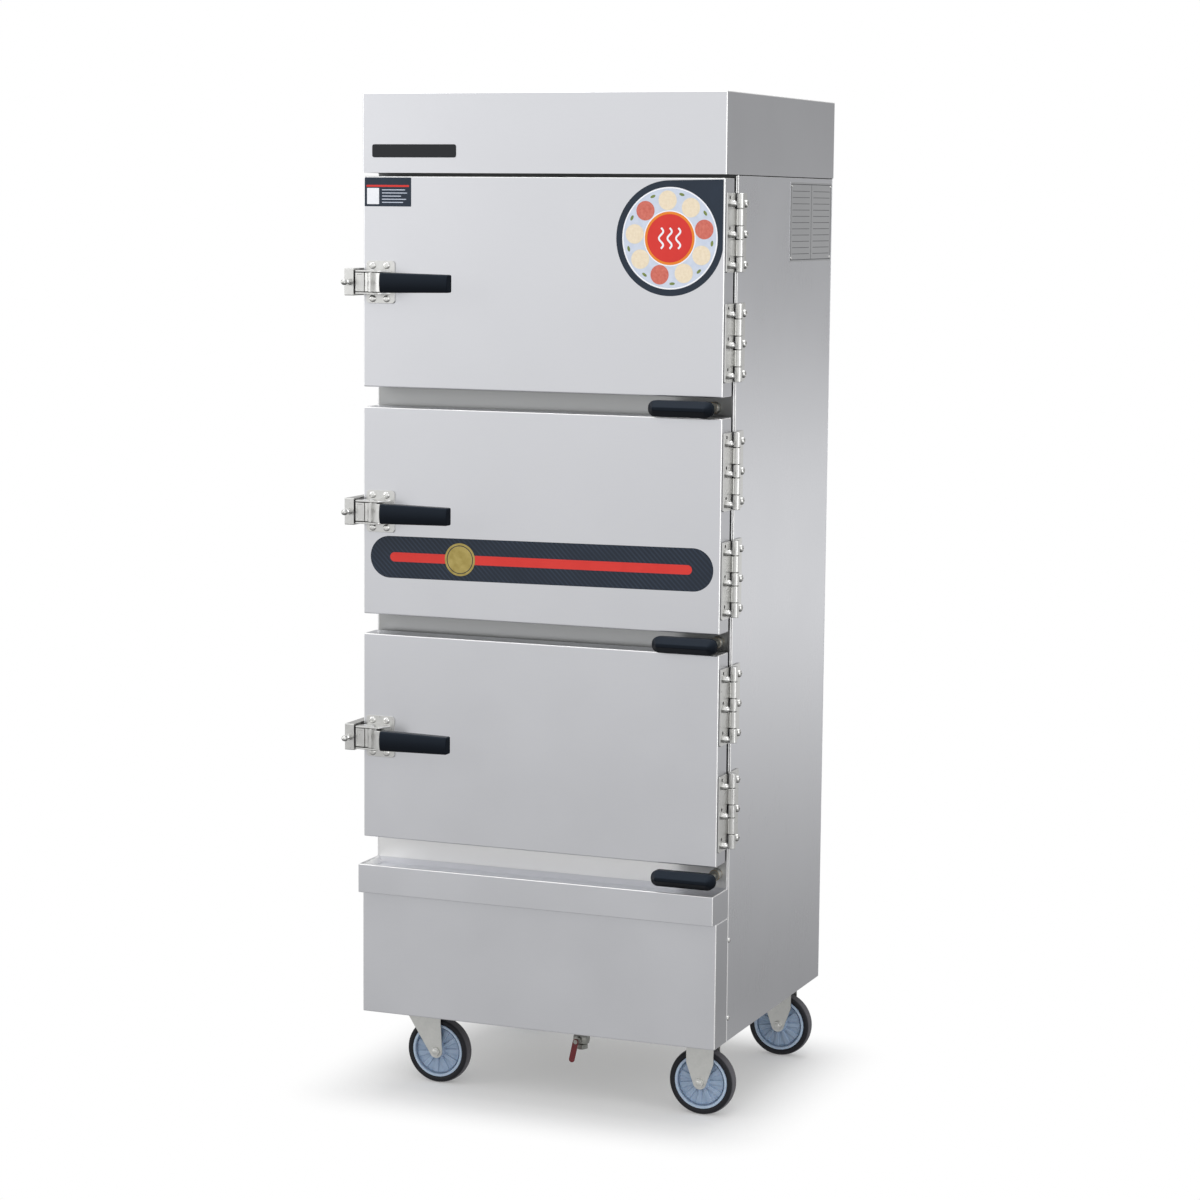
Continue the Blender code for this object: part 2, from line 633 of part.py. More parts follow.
# Keepers: channels on the left side that reach past each door's edge, with an adjusting bolt
latch_heights = [bottom + DOOR_HEIGHT / 2 for bottom in door_bottoms]
foot_start = body_front + KEEPER_FOOT_START
foot_end = foot_start + KEEPER_FOOT_LENGTH
for row, height in enumerate(latch_heights):
    half = KEEPER_HEIGHT / 2
    keeper = pan(f"keeper_{row + 1}", (keeper_left, -KEEPER_FORWARD, height - half),
                 (keeper_right, foot_end, height + half), ["+X", "+Y"], CAST_STEEL,
                 fold=KEEPER_THICKNESS / 2, sheet=KEEPER_THICKNESS)
    foot = box(f"keeper_foot_{row + 1}", (keeper_left + WELD_OVERLAP, foot_start, height - half / 2),
               (-half_width - SEAT_GAP, foot_end - WELD_OVERLAP, height + half / 2))
    shape(keeper, "UNION", foot)
    bolt_x = (keeper_left + keeper_right) / 2
    bolt_front = -KEEPER_FORWARD - KEEPER_BOLT_FORWARD
    bolt = rods(f"keeper_bolt_{row + 1}", [((bolt_x, bolt_front, height), "Y", KEEPER_BOLT_LENGTH,
                                            KEEPER_BOLT_RADIUS)])
    nut = rods(f"keeper_nut_{row + 1}", [((bolt_x, -KEEPER_FORWARD - KEEPER_NUT_LENGTH, height), "Y",
                                          KEEPER_NUT_LENGTH + KEEPER_THICKNESS / 2, KEEPER_NUT_RADIUS)],
               steps=HEX_STEPS)
    cap = rods(f"keeper_cap_{row + 1}", [((bolt_x, bolt_front, height), "Y",
                                          KEEPER_BOLT_FORWARD - KEEPER_NUT_LENGTH + WELD_OVERLAP,
                                          KEEPER_BOLT_RADIUS, KEEPER_NUT_RADIUS - WELD_OVERLAP)])
    for tool in (bolt, nut, cap):
        shape(keeper, "UNION", tool)


# Hinges: a fixed leaf with the pin, and a door leaf bored to turn on it
leaf_in = half_width + SEAT_GAP
leaf_out = leaf_in + LEAF_THICKNESS
knuckle_edges = [0]
for share in KNUCKLE_SHARES:
    knuckle_edges.append(knuckle_edges[-1] + share * hinge_height)


def hinge_leaf(name, low, way, width, knuckles, holder, paint):
    """A leaf plate with its own knuckles. way is +1 for the body leaf and -1 for the door leaf."""
    near = hinge_y + way * LEAF_SETBACK
    far = hinge_y + way * (LEAF_SETBACK + width)
    leaf = box(name, (leaf_in, min(near, far), low), (leaf_out, max(near, far), low + hinge_height),
               holder, paint)
    webs = []
    barrels = []
    for number in knuckles:
        start = low + knuckle_edges[number] + KNUCKLE_GAP / 2
        end = low + knuckle_edges[number + 1] - KNUCKLE_GAP / 2
        inner = near + way * WELD_OVERLAP
        webs.append(((leaf_in, min(hinge_y, inner), start), (leaf_out, max(hinge_y, inner), end)))
        barrels.append(((hinge_x, hinge_y, start), "Z", end - start, BARREL_RADIUS))
    shape(leaf, "UNION", boxes(name + "_webs", webs))
    shape(leaf, "UNION", rods(name + "_barrels", barrels, steps=ROUND_STEPS))
    return leaf


for row, bottom in enumerate(door_bottoms):
    door_axis = empty(f"door_{row + 1}_axis", (hinge_x, hinge_y, bottom + DOOR_HEIGHT / 2), cabinet)
    upper_low = bottom + DOOR_HEIGHT - HINGE_INSET - hinge_height
    for side, low in (("upper", upper_low), ("lower", bottom + HINGE_INSET)):
        name = f"hinge_{row + 1}_{side}"
        fixed = hinge_leaf(name + "_body_leaf", low, 1, BODY_LEAF_WIDTH, (0, 2, 4), cabinet, CAST_STEEL)
        shape(fixed, "UNION", rods(name + "_pin", [((hinge_x, hinge_y, low + KNUCKLE_GAP), "Z",
                                                    hinge_height - 2 * KNUCKLE_GAP, PIN_RADIUS)]))
        levels = [low + hinge_height / 2 + step * hinge_bolt_pitch for step in (-1, 0, 1)]
        heads = [((leaf_out - WELD_OVERLAP, hinge_y + BODY_SCREW_OFFSET, level), "X",
                  PAN_HEAD_HEIGHT + WELD_OVERLAP, PAN_HEAD_RADIUS, PAN_HEAD_RADIUS * HEAD_TAPER_SHARE)
                 for level in levels]
        shape(fixed, "UNION", rods(name + "_screws", heads))
        moving = hinge_leaf(name + "_door_leaf", low, -1, DOOR_LEAF_WIDTH, (1, 3), door_axis, CAST_STEEL)
        nuts = [((leaf_out - WELD_OVERLAP, hinge_y - HINGE_BOLT_OFFSET, level), "X",
                 NUT_HEIGHT + WELD_OVERLAP, NUT_RADIUS) for level in levels]
        domes = [((leaf_out + NUT_HEIGHT - WELD_OVERLAP, hinge_y - HINGE_BOLT_OFFSET, level), "X",
                  STUD_HEIGHT + WELD_OVERLAP, STUD_RADIUS, STUD_RADIUS / 2) for level in levels]
        shape(moving, "UNION", rods(name + "_nuts", nuts, steps=HEX_STEPS))
        shape(moving, "UNION", rods(name + "_domes", domes))
        bore = rods(name + "_bore", [((hinge_x, hinge_y, low - CUT_OVERRUN), "Z",
                                      hinge_height + 2 * CUT_OVERRUN, PIN_RADIUS + PIN_CLEARANCE)],
                    steps=ROUND_STEPS)
        shape(moving, "DIFFERENCE", bore)

    # Door: a folded outer pan, an inner pan that closes it and the seal
    top = bottom + DOOR_HEIGHT
    pan(f"door_{row + 1}_shell", (-half_width, 0, bottom), (half_width, DOOR_THICKNESS, top),
        ["+Y"], STAINLESS, holder=door_axis)
    inset = SHEET + SEAT_GAP
    pan(f"door_{row + 1}_liner", (-half_width + inset, DOOR_THICKNESS - DOOR_LINER_DEPTH, bottom + inset),
        (half_width - inset, DOOR_THICKNESS, top - inset), ["-Y"], LINER_STEEL, holder=door_axis)
    low, high = chambers[row]
    seal = box(f"door_{row + 1}_gasket",
               (-half_chamber - GASKET_WIDTH, DOOR_THICKNESS + SEAT_GAP, low - GASKET_WIDTH),
               (half_chamber + GASKET_WIDTH, frame_front - SEAT_GAP, high + GASKET_WIDTH), door_axis, RUBBER)
    shape(seal, "DIFFERENCE", box(f"gasket_window_{row + 1}", (-half_chamber, DOOR_THICKNESS - CUT_OVERRUN, low),
                                  (half_chamber, frame_front + CUT_OVERRUN, high)))

    # Latch: base plate with two ears and the pin that the lever turns on
    height = latch_heights[row]
    plate_left = -half_width + LATCH_INSET
    plate_centre_x = plate_left + LATCH_PLATE_WIDTH / 2
    plate_back = -SEAT_GAP
    plate_front = plate_back - LATCH_PLATE_THICKNESS
    half_plate_x = LATCH_PLATE_WIDTH / 2
    half_plate_z = LATCH_PLATE_HEIGHT / 2
    points = rounded(-half_plate_x, half_plate_x, half_plate_z, LATCH_PLATE_ROUND, PLATE_CORNER_STEPS)
    base = outline(f"latch_{row + 1}_base", points, LATCH_PLATE_THICKNESS, UPRIGHT,
                   (plate_centre_x, (plate_back + plate_front) / 2, height), door_axis, CAST_STEEL)
    pin_y = -LATCH_PIN_FORWARD
    ear_left = latch_pin_x - NOSE_LENGTH
    ear_root = plate_front + WELD_OVERLAP
    ear_tip_share, ear_foot_share = EAR_SHARES
    ear_points = [(ear_left, -EAR_REACH), (latch_pin_x + EAR_LENGTH * ear_tip_share, -EAR_REACH),
                  (latch_pin_x + EAR_LENGTH * ear_foot_share, ear_root), (plate_left + WELD_OVERLAP, ear_root),
                  (plate_left + WELD_OVERLAP, plate_front - LATCH_PLATE_THICKNESS), (ear_left, -EAR_REACH / 2)]
    for way in (-1, 1):
        ear_z = height + way * (EAR_OPENING + EAR_THICKNESS) / 2
        ear = outline(f"latch_ear_{row + 1}_{way}", ear_points, EAR_THICKNESS, FLAT, (0, 0, ear_z))
        shape(base, "UNION", ear)
    pin_half = EAR_OPENING / 2 + EAR_THICKNESS + LATCH_PLATE_THICKNESS
    shape(base, "UNION", rods(f"latch_pin_{row + 1}", [((latch_pin_x, pin_y, height - pin_half), "Z",
                                                        2 * pin_half, LATCH_PIN_RADIUS)], steps=ROUND_STEPS))
    heads = []
    for across in (LATCH_SCREW_INSET, LATCH_SCREW_INSET + LATCH_SCREW_SPAN_X):
        for way in (-1, 1):
            head_z = height + way * LATCH_SCREW_SPAN_Z / 2
            heads.append(((plate_left + across, plate_front - PAN_HEAD_HEIGHT, head_z), "Y",
                          PAN_HEAD_HEIGHT + WELD_OVERLAP, PAN_HEAD_RADIUS * HEAD_TAPER_SHARE, PAN_HEAD_RADIUS))
    shape(base, "UNION", rods(f"latch_screws_{row + 1}", heads))

    # Lever on the pin: nose to the left, curved neck and tang to the right
    lever_axis = empty(f"latch_{row + 1}_axis", (latch_pin_x, pin_y, height), door_axis)
    boss_half = EAR_OPENING / 2 - SEAT_GAP
    half_lever = LEVER_HEIGHT / 2
    lever = rods(f"latch_{row + 1}_lever", [((latch_pin_x, pin_y, height - boss_half), "Z", 2 * boss_half,
                                             LEVER_BOSS_RADIUS)], lever_axis, CAST_STEEL, steps=ROUND_STEPS)
    nose = box(f"nose_{row + 1}", (ear_left, pin_y - NOSE_THICKNESS / 2, height - half_lever),
               (latch_pin_x, pin_y + NOSE_THICKNESS / 2, height + half_lever))
    shape(lever, "UNION", nose)
    grip_x = latch_pin_x + GRIP_START
    half_neck = NECK_THICKNESS / 2
    first_bend, outer_bend, inner_bend = [latch_pin_x + GRIP_START * share for share in NECK_SHARES]
    neck_points = [(latch_pin_x, pin_y - LEVER_BOSS_RADIUS + half_neck / 2),
                   (first_bend, -GRIP_FORWARD + half_neck / 2), (outer_bend, -GRIP_FORWARD - half_neck),
                   (grip_x, -GRIP_FORWARD - half_neck), (grip_x, half_neck - GRIP_FORWARD),
                   (inner_bend, half_neck - GRIP_FORWARD),
                   (latch_pin_x + LEVER_BOSS_RADIUS - half_neck / 2, pin_y)]
    shape(lever, "UNION", outline(f"neck_{row + 1}", neck_points, LEVER_HEIGHT, FLAT, (0, 0, height)))
    tang = box(f"tang_{row + 1}", (grip_x - WELD_OVERLAP, -GRIP_FORWARD - half_neck, height - half_lever / 2),
               (grip_x + GRIP_TANG, -GRIP_FORWARD + half_neck, height + half_lever / 2))
    shape(lever, "UNION", tang)
    bore_low = height - EAR_OPENING / 2 - CUT_OVERRUN
    lever_bore = rods(f"lever_bore_{row + 1}", [((latch_pin_x, pin_y, bore_low), "Z",
                                                 EAR_OPENING + 2 * CUT_OVERRUN,
                                                 LATCH_PIN_RADIUS + PIN_CLEARANCE)], steps=ROUND_STEPS)
    shape(lever, "DIFFERENCE", lever_bore)

    # Moulded grip on the tang, tapered towards its free end
    grip_left = grip_x + SEAT_GAP
    grip_right = grip_left + GRIP_LENGTH
    grip = box(f"latch_{row + 1}_grip", (grip_left, -GRIP_FORWARD - GRIP_DEPTH / 2, height - GRIP_HEIGHT / 2),
               (grip_right, -GRIP_FORWARD + GRIP_DEPTH / 2, height + GRIP_HEIGHT / 2), lever_axis, BAKELITE)
    for corner_point in grip.data.vertices:
        if corner_point.co.x > 0:
            corner_point.co.z *= GRIP_END_HEIGHT / GRIP_HEIGHT
    soften(grip, GRIP_ROUND, GRIP_SEGMENTS)
    slot = box(f"grip_slot_{row + 1}",
               (grip_left - CUT_OVERRUN, -GRIP_FORWARD - half_neck - SEAT_GAP, height - half_lever / 2 - SEAT_GAP),
               (grip_x + GRIP_TANG + SEAT_GAP, -GRIP_FORWARD + half_neck + SEAT_GAP,
                height + half_lever / 2 + SEAT_GAP))
    shape(grip, "DIFFERENCE", slot)
    smooth(grip)

# Casters: two swivel on the left and two fixed on the right
plate_top = CASTER_HEIGHT - SEAT_GAP
plate_low = plate_top - CASTER_PLATE_THICKNESS
leg_near = WHEEL_WIDTH / 2 + WHEEL_SIDE_GAP
leg_far = leg_near + FORK_THICKNESS
half_step = math.pi / WHEEL_STEPS


def caster_plate(name, centre_x_place, centre_y_place, paint):
    half = CASTER_PLATE / 2
    return box(name, (centre_x_place - half, centre_y_place - half, plate_low),
               (centre_x_place + half, centre_y_place + half, plate_top), paint=paint)


def add_legs(fork, name, leg_points, axle_x, place_y):
    """Two legs, and the axle with its bolt heads, welded to a fork."""
    for way in (-1, 1):
        leg_y = place_y + way * (leg_near + leg_far) / 2
        shape(fork, "UNION", outline(f"{name}_leg_{way}", leg_points, FORK_THICKNESS, UPRIGHT, (0, leg_y, 0)))
    axle = rods(name + "_axle", [((axle_x, place_y - leg_far + WELD_OVERLAP, WHEEL_RADIUS), "Y",
                                  2 * (leg_far - WELD_OVERLAP), AXLE_RADIUS)], steps=ROUND_STEPS)
    heads = rods(name + "_heads", [((axle_x, place_y - leg_far - AXLE_HEAD_HEIGHT, WHEEL_RADIUS), "Y",
                                    AXLE_HEAD_HEIGHT + WELD_OVERLAP, AXLE_HEAD_RADIUS),
                                   ((axle_x, place_y + leg_far - WELD_OVERLAP, WHEEL_RADIUS), "Y",
                                    AXLE_HEAD_HEIGHT + WELD_OVERLAP, AXLE_HEAD_RADIUS)], steps=HEX_STEPS)
    shape(fork, "UNION", axle)
    shape(fork, "UNION", heads)


def wheel(name, holder, axle_x, place_y):
    """Hub and tyre as one turned piece, with a flat facet on the floor."""
    rim = WHEEL_RADIUS / math.cos(half_step)
    bore = AXLE_RADIUS + AXLE_CLEARANCE
    hub_half = leg_near - SEAT_GAP
    half = WHEEL_WIDTH / 2
    upper = [(bore, hub_half), (HUB_RADIUS, hub_half), (HUB_RADIUS, WHEEL_DISC / 2),
             (rim - TYRE_THICKNESS, WHEEL_DISC / 2), (rim - TYRE_THICKNESS, half - TYRE_EDGE),
             (rim - TYRE_EDGE, half), (rim, half - TYRE_EDGE)]
    profile = upper + [(radius, -along) for radius, along in reversed(upper)]
    bm = bmesh.new()
    ring = [bm.verts.new((radius, 0, along)) for radius, along in profile]
    for step in range(len(ring)):
        bm.edges.new((ring[step - 1], ring[step]))
    made = add(name, mesh_from(bm, name), (axle_x, place_y, WHEEL_RADIUS), holder, WHEEL_PLASTIC)
    turned = made.modifiers.new("turned", "SCREW")
    turned.axis = "Z"
    turned.steps = WHEEL_STEPS
    turned.render_steps = WHEEL_STEPS
    turned.use_merge_vertices = True
    turned.merge_threshold = MERGE_DISTANCE
    made.rotation_euler = (Matrix.Rotation(math.pi / 2, 3, "X") @ Matrix.Rotation(half_step, 3, "Z")).to_euler()
    return made


front_y = body_front + CASTER_INSET_FRONT
rear_y = side_back - CASTER_INSET_BACK
for side, place_y in (("front", front_y), ("rear", rear_y)):
    # Swivel caster on the left
    name = f"caster_{side}_left"
    swivel_x = -half_width + SWIVEL_INSET
    axle_x = swivel_x + CASTER_TRAIL
    plate = caster_plate(name + "_plate", swivel_x, place_y, ZINC)
    race_low = plate_low - RACE_HEIGHT
    race = rods(name + "_race", [((swivel_x, place_y, race_low), "Z", RACE_HEIGHT + WELD_OVERLAP, RACE_RADIUS)],
                steps=2 * ROUND_STEPS)
    race_bore = rods(name + "_race_bore", [((swivel_x, place_y, race_low - CUT_OVERRUN), "Z",
                                            RACE_HEIGHT + CUT_OVERRUN, KING_PIN_RADIUS + PIN_CLEARANCE)],
                     steps=ROUND_STEPS)
    shape(plate, "UNION", race)
    shape(plate, "DIFFERENCE", race_bore)
    swivel = empty(name + "_swivel", (swivel_x, place_y, race_low), cabinet)
    crown_top = race_low - SEAT_GAP
    crown_low = crown_top - CROWN_HEIGHT
    fork = rods(name + "_fork", [((swivel_x, place_y, crown_low), "Z", CROWN_HEIGHT, CROWN_RADIUS)],
                swivel, ZINC, steps=2 * ROUND_STEPS)
    shape(fork, "UNION", rods(name + "_king_pin", [((swivel_x, place_y, crown_top - WELD_OVERLAP), "Z",
                                                    RACE_HEIGHT - SEAT_GAP, KING_PIN_RADIUS)], steps=ROUND_STEPS))
    crown_edge = math.sqrt(CROWN_RADIUS ** 2 - leg_far ** 2)
    leg_top = crown_low + WELD_OVERLAP
    leg_points = [(swivel_x + crown_edge, leg_top), (swivel_x - crown_edge, leg_top)]
    leg_points += arc((axle_x, WHEEL_RADIUS), LEG_END_RADIUS, LEG_ARC_START, SWIVEL_LEG_ARC_END, LEG_END_STEPS)
    add_legs(fork, name, leg_points, axle_x, place_y)
    axle = empty(name + "_axle_line", (axle_x, place_y, WHEEL_RADIUS), swivel)
    wheel(name + "_wheel", axle, axle_x, place_y)

    # Fixed caster on the right
    name = f"caster_{side}_right"
    fixed_x = half_width - RIGID_INSET
    fork = caster_plate(name + "_fork", fixed_x, place_y, ZINC)
    half_leg = RIGID_LEG_WIDTH / 2
    leg_top = plate_low + WELD_OVERLAP
    shoulder = 2 * WHEEL_RADIUS - half_leg
    leg_points = [(fixed_x + half_leg, leg_top), (fixed_x - half_leg, leg_top), (fixed_x - half_leg, shoulder)]
    leg_points += arc((fixed_x, WHEEL_RADIUS), LEG_END_RADIUS, LEG_ARC_START, FIXED_LEG_ARC_END, LEG_END_STEPS)
    leg_points.append((fixed_x + half_leg, shoulder))
    add_legs(fork, name, leg_points, fixed_x, place_y)
    axle = empty(name + "_axle_line", (fixed_x, place_y, WHEEL_RADIUS), cabinet)
    wheel(name + "_wheel", axle, fixed_x, place_y)
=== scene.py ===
"""Looks of a three-door steam cabinet on casters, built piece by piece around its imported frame.

Lengths are metres, +Z is up, and the doors face -Y."""

import math

import bmesh
import bpy
from mathutils import Matrix, Vector


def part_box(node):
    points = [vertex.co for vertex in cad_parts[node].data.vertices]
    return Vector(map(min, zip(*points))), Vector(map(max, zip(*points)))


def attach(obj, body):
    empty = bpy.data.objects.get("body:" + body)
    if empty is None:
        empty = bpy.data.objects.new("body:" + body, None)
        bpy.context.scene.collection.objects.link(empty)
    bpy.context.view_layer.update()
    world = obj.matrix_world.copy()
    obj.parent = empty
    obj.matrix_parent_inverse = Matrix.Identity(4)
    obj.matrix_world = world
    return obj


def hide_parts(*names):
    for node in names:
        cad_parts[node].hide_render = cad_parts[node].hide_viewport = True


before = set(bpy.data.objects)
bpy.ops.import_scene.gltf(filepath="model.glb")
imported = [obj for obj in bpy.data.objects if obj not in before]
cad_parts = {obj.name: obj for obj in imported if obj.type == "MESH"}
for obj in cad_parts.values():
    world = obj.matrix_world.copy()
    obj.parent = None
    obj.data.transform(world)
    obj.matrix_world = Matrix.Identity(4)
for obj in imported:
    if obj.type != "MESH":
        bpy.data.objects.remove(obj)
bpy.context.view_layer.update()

MM = 0.001
X, Y, Z = 0, 1, 2


def mm(*sizes):
    """Sizes in millimetres, as metres."""
    return [size * MM for size in sizes]


# Studio: a pale floor under an open white backdrop, and a long lens to the right of the front,
# a little below the cabinet's top. The angles were worked out from the photographed edges.
LENS_MM, SENSOR_MM = 93.67, 36.0
CAMERA_PLACE = (2.1908, -5.4157, 1.6455)
YAW, PITCH, ROLL = (math.radians(angle) for angle in (21.93, 7.13, 0.51))


def linear(code):
    """The linear values of an sRGB hex colour, with full alpha."""
    shares = [int(code[start:start + 2], 16) / 255 for start in (1, 3, 5)]
    return tuple(c / 12.92 if c <= 0.04045 else ((c + 0.055) / 1.055) ** 2.4 for c in shares) + (1.0,)


def wire(tree, node, inputs):
    """Sets a node's inputs to values or hex colours, or links them to sockets or to other nodes' main output."""
    for key, value in inputs.items():
        if isinstance(value, str):
            value = linear(value)
        if isinstance(value, bpy.types.Node):
            value = next(socket for socket in value.outputs if socket.enabled)
        if isinstance(value, bpy.types.NodeSocket):
            tree.links.new(value, node.inputs[key])
        else:
            node.inputs[key].default_value = value
    return node


def add(tree, kind, inputs=None, **settings):
    """Adds a shader node with its settings and its inputs."""
    made = tree.nodes.new("ShaderNode" + kind)
    for key, value in settings.items():
        setattr(made, key, value)
    return wire(tree, made, inputs or {})


forward = Vector((-math.sin(YAW) * math.cos(PITCH), math.cos(YAW) * math.cos(PITCH), -math.sin(PITCH)))
level = Vector((math.cos(YAW), math.sin(YAW), 0))
upward = level.cross(forward)
across = level * math.cos(ROLL) + upward * math.sin(ROLL)
over = upward * math.cos(ROLL) - level * math.sin(ROLL)
lens = bpy.data.cameras.new("photo_lens")
lens.lens, lens.sensor_width, lens.clip_end = LENS_MM, SENSOR_MM, 100.0
camera = bpy.data.objects.new("photo_camera", lens)
camera.matrix_world = Matrix.Translation(CAMERA_PLACE) @ Matrix((across, over, -forward)).transposed().to_4x4()
bpy.context.scene.collection.objects.link(camera)
bpy.context.scene.camera = camera
bpy.context.scene.view_settings.view_transform = "Standard"

# The backdrop shows white to the eye, while it lights the cabinet more softly. Metal sees a bright
# front wall, a high ceiling, and a rear wall in half shade, as in a studio lit from the front.
AMBIENT, BACKDROP = 0.62, 1.0
FRONT_WALL, REAR_WALL, CEILING = 1.02, 0.45, 0.92
world = bpy.data.worlds.new("studio_backdrop")
bpy.context.scene.world = world
world.use_nodes = True
sky = world.node_tree
way = add(sky, "SeparateXYZ", {"Vector": add(sky, "TexCoord").outputs["Generated"]}).outputs
walls = add(sky, "MapRange", {"Value": way["Y"], "From Min": -0.5, "From Max": 0.5, "To Min": FRONT_WALL,
                              "To Max": REAR_WALL})
height = add(sky, "MapRange", {"Value": way["Z"], "From Min": 0.25, "From Max": 0.75})
ray = add(sky, "LightPath").outputs
mirrored = add(sky, "Math", {0: ray["Is Glossy Ray"], 1: ray["Is Transmission Ray"]}, operation="MAXIMUM")
lit = add(sky, "Mix", {0: mirrored, 2: AMBIENT, 3: add(sky, "Mix", {0: height, 2: walls, 3: CEILING})})
seen = add(sky, "Mix", {0: ray["Is Camera Ray"], 2: lit, 3: BACKDROP})
wire(sky, sky.nodes["Background"], {"Color": "#FFFFFF", "Strength": seen})

# The floor is matt white card. It keeps a soft shadow under the cabinet and fades to backdrop white
# just outside its footprint, with no horizon. What metal mirrors of it is a painted glow, dim in front as
# painted shade and bright far behind: each mirrored tone gives the reach at which it starts and ends, and
# its brightness near and far.
FLOOR_SIZE = 60.0
FOOTPRINT = (0.33, 0.28, 10.0)
FLOOR_GLOW, FADE_WIDTH = 0.22, 0.18
FRONT_TONE, REAR_TONE, REAR_SHADE = (3.9, 13.5, 0.54, 1.02), (1.0, 7.0, 0.38, 0.92), (13.0, 42.0, 1.0, REAR_WALL)
floor_paint = bpy.data.materials.new("matt_white_card")
floor_paint.use_nodes = True
card = floor_paint.node_tree
matt = wire(card, card.nodes["Principled BSDF"], {"Base Color": "#F1F1F1", "Roughness": 0.9,
                                                  "Specular IOR Level": 0.1})
ray = add(card, "LightPath").outputs
spot = add(card, "TexCoord").outputs["Object"]
apart = add(card, "VectorMath", {0: spot}, operation="ABSOLUTE")
apart = add(card, "VectorMath", {0: apart, 1: FOOTPRINT}, operation="SUBTRACT")
apart = add(card, "VectorMath", {0: apart, 1: (0.0, 0.0, 0.0)}, operation="MAXIMUM")
outside = add(card, "VectorMath", {0: apart}, operation="LENGTH")
fade = add(card, "MapRange", {"Value": outside, "From Max": FADE_WIDTH, "To Min": FLOOR_GLOW},
           interpolation_type="SMOOTHSTEP")
glow = add(card, "Emission", {"Color": "#FFFFFF", "Strength": BACKDROP})
share = add(card, "Math", {0: ray["Is Camera Ray"], 1: fade}, operation="MULTIPLY")
half = add(card, "MixShader", {0: share, 1: matt, 2: glow})
reach = add(card, "VectorMath", {0: spot}, operation="LENGTH")
front_tone, rear_tone, rear_shade = (
    add(card, "MapRange", {"Value": reach, "From Min": start, "From Max": end, "To Min": near, "To Max": far})
    for start, end, near, far in (FRONT_TONE, REAR_TONE, REAR_SHADE))
rear_both = add(card, "Math", {0: rear_tone, 1: rear_shade}, operation="MULTIPLY")
behind = add(card, "SeparateXYZ", {"Vector": spot}).outputs["Y"]
behind = add(card, "MapRange", {"Value": behind, "From Min": -0.6, "From Max": 0.6})
tone = add(card, "Mix", {0: behind, 2: front_tone, 3: rear_both})
# Metal mirrors this painted glow in place of the floor, dimmed in front as painted shade
painted_reflection_glow = add(card, "Emission", {"Color": "#FFFFFF", "Strength": tone})
whole = add(card, "MixShader", {0: ray["Is Glossy Ray"], 1: half, 2: painted_reflection_glow})
wire(card, card.nodes["Material Output"], {"Surface": whole})
ground = bmesh.new()
bmesh.ops.create_grid(ground, x_segments=1, y_segments=1, size=FLOOR_SIZE / 2)
floor_mesh = bpy.data.meshes.new("studio_floor")
ground.to_mesh(floor_mesh)
ground.free()
floor_mesh.materials.append(floor_paint)
studio_floor = bpy.data.objects.new("studio_floor", floor_mesh)
bpy.context.scene.collection.objects.link(studio_floor)


def soft_light(name, place, target, wide, tall, power, mirrored=True):
    """A softbox at a place, turned to face a target. It lights the scene but stays unseen, and one that
    would burn out the steel it faces isn't mirrored."""
    lamp = bpy.data.lights.new(name, "AREA")
    lamp.shape = "RECTANGLE"
    lamp.size, lamp.size_y, lamp.energy = wide, tall, power
    made = bpy.data.objects.new(name, lamp)
    made.location = place
    made.rotation_euler = (Vector(target) - Vector(place)).to_track_quat("-Z", "Y").to_euler()
    made.visible_camera = False
    made.visible_glossy = mirrored
    bpy.context.scene.collection.objects.link(made)


soft_light("key_softbox", (1.5, -4.2, 3.7), (0.0, 0.0, 1.0), 3.4, 3.4, 62.0, mirrored=False)
soft_light("fill_softbox", (-3.2, -2.4, 2.6), (0.0, 0.0, 0.9), 2.6, 2.6, 26.0)
soft_light("top_softbox", (0.0, 0.3, 4.2), (0.0, 0.0, 1.0), 3.4, 3.4, 56.0)
soft_light("edge_softbox", (3.5, -1.45, 1.2), (0.35, -0.28, 1.0), 1.3, 2.8, 22.0)

# Header: a stainless cover over the body's top, folded from one 1.2 mm sheet with its corners
# welded and ground. Ahead of the body its underside is closed by a strip whose steel is painted dark, as painted shade.
SHEET, FOLD, FOLD_SEGMENTS = 1.2 * MM, 2.4 * MM, 4
SMOOTH_ANGLE = math.radians(38)
LEFT, RIGHT, FRONT, BACK, BELOW, ABOVE = ((-1, 0, 0), (1, 0, 0), (0, -1, 0), (0, 1, 0), (0, 0, -1), (0, 0, 1))
SCRATCH_WIDTH, SCRATCH_LENGTH, STEEL_CLOUD = mm(0.5, 45, 160)
SCRATCH_DEPTH, SCRATCH_SPREAD = 0.02 * MM, 0.45


def round_edges(bm, edges, radius, segments):
    bmesh.ops.bevel(bm, geom=edges, offset=radius, offset_type="OFFSET", segments=segments, profile=0.5,
                    affect="EDGES", clamp_overlap=True, material=-1)


def sharp(bm, degrees=50):
    """The edges whose faces meet at more than an angle."""
    bm.normal_update()
    return [e for e in bm.edges if e.calc_face_angle(0.0) > math.radians(degrees)]


def facing(bm, way):
    """The faces that point one way."""
    bm.normal_update()
    return [f for f in bm.faces if f.normal.dot(Vector(way)) > 0.9]


def cube(low, high):
    """A bmesh block between its lowest and highest corners."""
    low, high = Vector(low), Vector(high)
    bm = bmesh.new()
    bmesh.ops.create_cube(bm, size=1.0)
    bmesh.ops.scale(bm, vec=high - low, verts=bm.verts)
    bmesh.ops.translate(bm, vec=(low + high) / 2, verts=bm.verts)
    bm.normal_update()
    return bm


